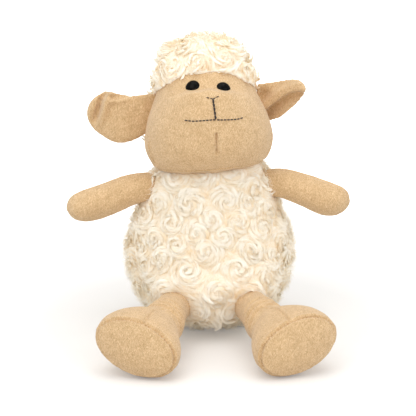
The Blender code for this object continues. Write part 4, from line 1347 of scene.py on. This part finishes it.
# Limbs
trees = [tree_of(head)]
for name in SIDES:
    arm, side, up = arms[name]
    subdivided(arm, 2)
    for line in limb_seams[name]["arm"]:
        groove(arm, line, 0.0012, 0.0010)
    roughen(arm, 45.0, 0.0007, 2.0 + SIDES[name])
    nodes = [f"arm_{name}_front", f"arm_{name}_back", f"arm_{name}_stuffing"]
    finish_piece(arm, SHORT_PILE, "arm_" + name, nodes)
    trees.append(tree_of(arm))
    leg, direction, toe, width = legs[name]
    subdivided(leg, 2)
    groove(leg, limb_seams[name]["sole"], 0.0017, 0.0010, 0.45)
    groove(leg, limb_seams[name]["instep"], 0.0010, 0.0009)
    ankle_folds(leg, name, direction, toe, limb_seams[name]["top"])
    roughen(leg, 42.0, 0.0007, 6.0 + SIDES[name])
    co = points_of(leg.data)
    co[:, 2] = np.maximum(co[:, 2], LEG_CLEARANCE)
    set_points(leg.data, co)
    nodes = [f"leg_{name}_outer", f"leg_{name}_inner", f"sole_{name}", f"leg_{name}_stuffing"]
    finish_piece(leg, SHORT_PILE, "leg_" + name, nodes)
    trees.append(tree_of(leg))

# Body and its wool
subdivided(body, 2)
swell_round_limbs(body)
body_nodes = ["body_front", "body_back", "seat_panel", "body_stuffing", "pellet_bag"]
finish_piece(body, WOOL_BASE, "body", body_nodes)
finish_piece(hair, WOOL_BASE, "head", ["hair_cap"])


def above_seat(points):
    return ((points[:, 2] > 0.0025) & (points[:, 2] < 0.137)).astype(float)


LEAN_BACK = np.array(LEAN.inverted())


def in_hair(points):
    own = points @ LEAN_BACK[:3, :3].T + LEAN_BACK[:3, 3]
    return (hair_share(own) > 0.001).astype(float)


centres, turns = rosette_centres(body, Matrix.Identity(4), BODY_MIDDLE, BODY_SPANS)
raise_rosettes(body, centres)
for name, kind, count, seed, split in BODY_PILE:
    wool(name, body, "body", centres, turns, kind, count, seed, split, trees, above_seat)
centres, turns = rosette_centres(hair, LEAN, HAIR_MIDDLE, HAIR_SPANS)
raise_rosettes(hair, centres)
hair_trees = [tree_of(ear_pieces[name]) for name in SIDES] + trees[:1]
for name, kind, count, seed, split in HAIR_PILE:
    wool(name, hair, "head", centres, turns, kind, count, seed, split, hair_trees, in_hair)

# The pad between body and head
PAD_STATIONS = [(0.1440, 0.0), (0.1450, 0.0150), (0.1480, 0.0180), (0.1510, 0.0150), (0.1520, 0.0)]
pad_rows = [(Vector((0.0, 0.0, height)), half, half) for height, half in PAD_STATIONS]
pad = loft("neck_pad", pad_rows, ACROSS, -FORWARD, 32)
finish_piece(pad, WOOL_BASE, "neck", ["neck_stuffing"])

for name in SIDES:
    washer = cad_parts["eye_washer_" + name]
    washer.data.materials.clear()
    washer.data.materials.append(PLASTIC)


# ---- stage, light and camera ----

def floor_material():
    """Plain pale floor. The part that the camera sees glows to white, more so far from the lamps."""
    result = bpy.data.materials.new("floor")
    result.use_nodes = True
    tree = result.node_tree
    tree.nodes.clear()
    output = tree.nodes.new("ShaderNodeOutputMaterial")
    diffuse = tree.nodes.new("ShaderNodeBsdfDiffuse")
    diffuse.inputs["Color"].default_value = (0.735, 0.725, 0.708, 1.0)
    glow = tree.nodes.new("ShaderNodeEmission")
    glow.inputs["Color"].default_value = (1.0, 0.997, 0.994, 1.0)
    coordinates = tree.nodes.new("ShaderNodeTexCoord")
    distance = tree.nodes.new("ShaderNodeVectorMath")
    distance.operation = "LENGTH"
    growth = tree.nodes.new("ShaderNodeMapRange")
    growth.inputs["From Min"].default_value = GLOW_NEAR
    growth.inputs["From Max"].default_value = GLOW_FAR
    growth.inputs["To Min"].default_value = FLOOR_GLOW
    growth.inputs["To Max"].default_value = 1.0
    seen = tree.nodes.new("ShaderNodeLightPath")
    shown = tree.nodes.new("ShaderNodeMath")
    shown.operation = "MULTIPLY"
    total = tree.nodes.new("ShaderNodeAddShader")
    tree.links.new(coordinates.outputs["Object"], distance.inputs[0])
    tree.links.new(distance.outputs["Value"], growth.inputs["Value"])
    tree.links.new(growth.outputs["Result"], shown.inputs[0])
    tree.links.new(seen.outputs["Is Camera Ray"], shown.inputs[1])
    tree.links.new(shown.outputs["Value"], glow.inputs["Strength"])
    tree.links.new(diffuse.outputs["BSDF"], total.inputs[0])
    tree.links.new(glow.outputs["Emission"], total.inputs[1])
    tree.links.new(total.outputs["Shader"], output.inputs["Surface"])
    return result


def area_light(name, place, aim, size, power):
    light = bpy.data.lights.new(name, "AREA")
    light.shape = "SQUARE"
    light.size = size
    light.energy = power
    thing = add(name, light)
    thing.location = place
    thing.rotation_euler = (Vector(aim) - Vector(place)).to_track_quat("-Z", "Y").to_euler()


bpy.ops.mesh.primitive_plane_add(size=24.0, location=(0.0, 0.0, 0.0))
floor = bpy.context.object
floor.name = "floor"
floor.data.materials.append(floor_material())

scene = bpy.context.scene
world = bpy.data.worlds.new("studio")
scene.world = world
world.use_nodes = True
background = world.node_tree.nodes["Background"]
background.inputs["Color"].default_value = (*WHITE, 1.0)
# The camera sees the world white, and the sheep gets the light that it gives.
rays = world.node_tree.nodes.new("ShaderNodeLightPath")
seen = world.node_tree.nodes.new("ShaderNodeMapRange")
seen.inputs["To Min"].default_value = WORLD_LIGHT
world.node_tree.links.new(rays.outputs["Is Camera Ray"], seen.inputs["Value"])
world.node_tree.links.new(seen.outputs["Result"], background.inputs["Strength"])
for lamp in LAMPS:
    area_light(*lamp)

camera_data = bpy.data.cameras.new("camera")
camera_data.lens = CAMERA_LENS
camera_data.sensor_width = 36.0
camera = add("camera", camera_data)
away = Vector((math.sin(CAMERA_AZIMUTH), -math.cos(CAMERA_AZIMUTH), 0.0)) * math.cos(CAMERA_ELEVATION)
away += UP * math.sin(CAMERA_ELEVATION)
camera.location = CAMERA_TARGET + away * CAMERA_DISTANCE
camera.rotation_euler = away.to_track_quat("Z", "Y").to_euler()
scene.camera = camera
scene.view_settings.view_transform = "Standard"
scene.cycles.diffuse_bounces = DIFFUSE_BOUNCES
scene.cycles.max_bounces = ALL_BOUNCES
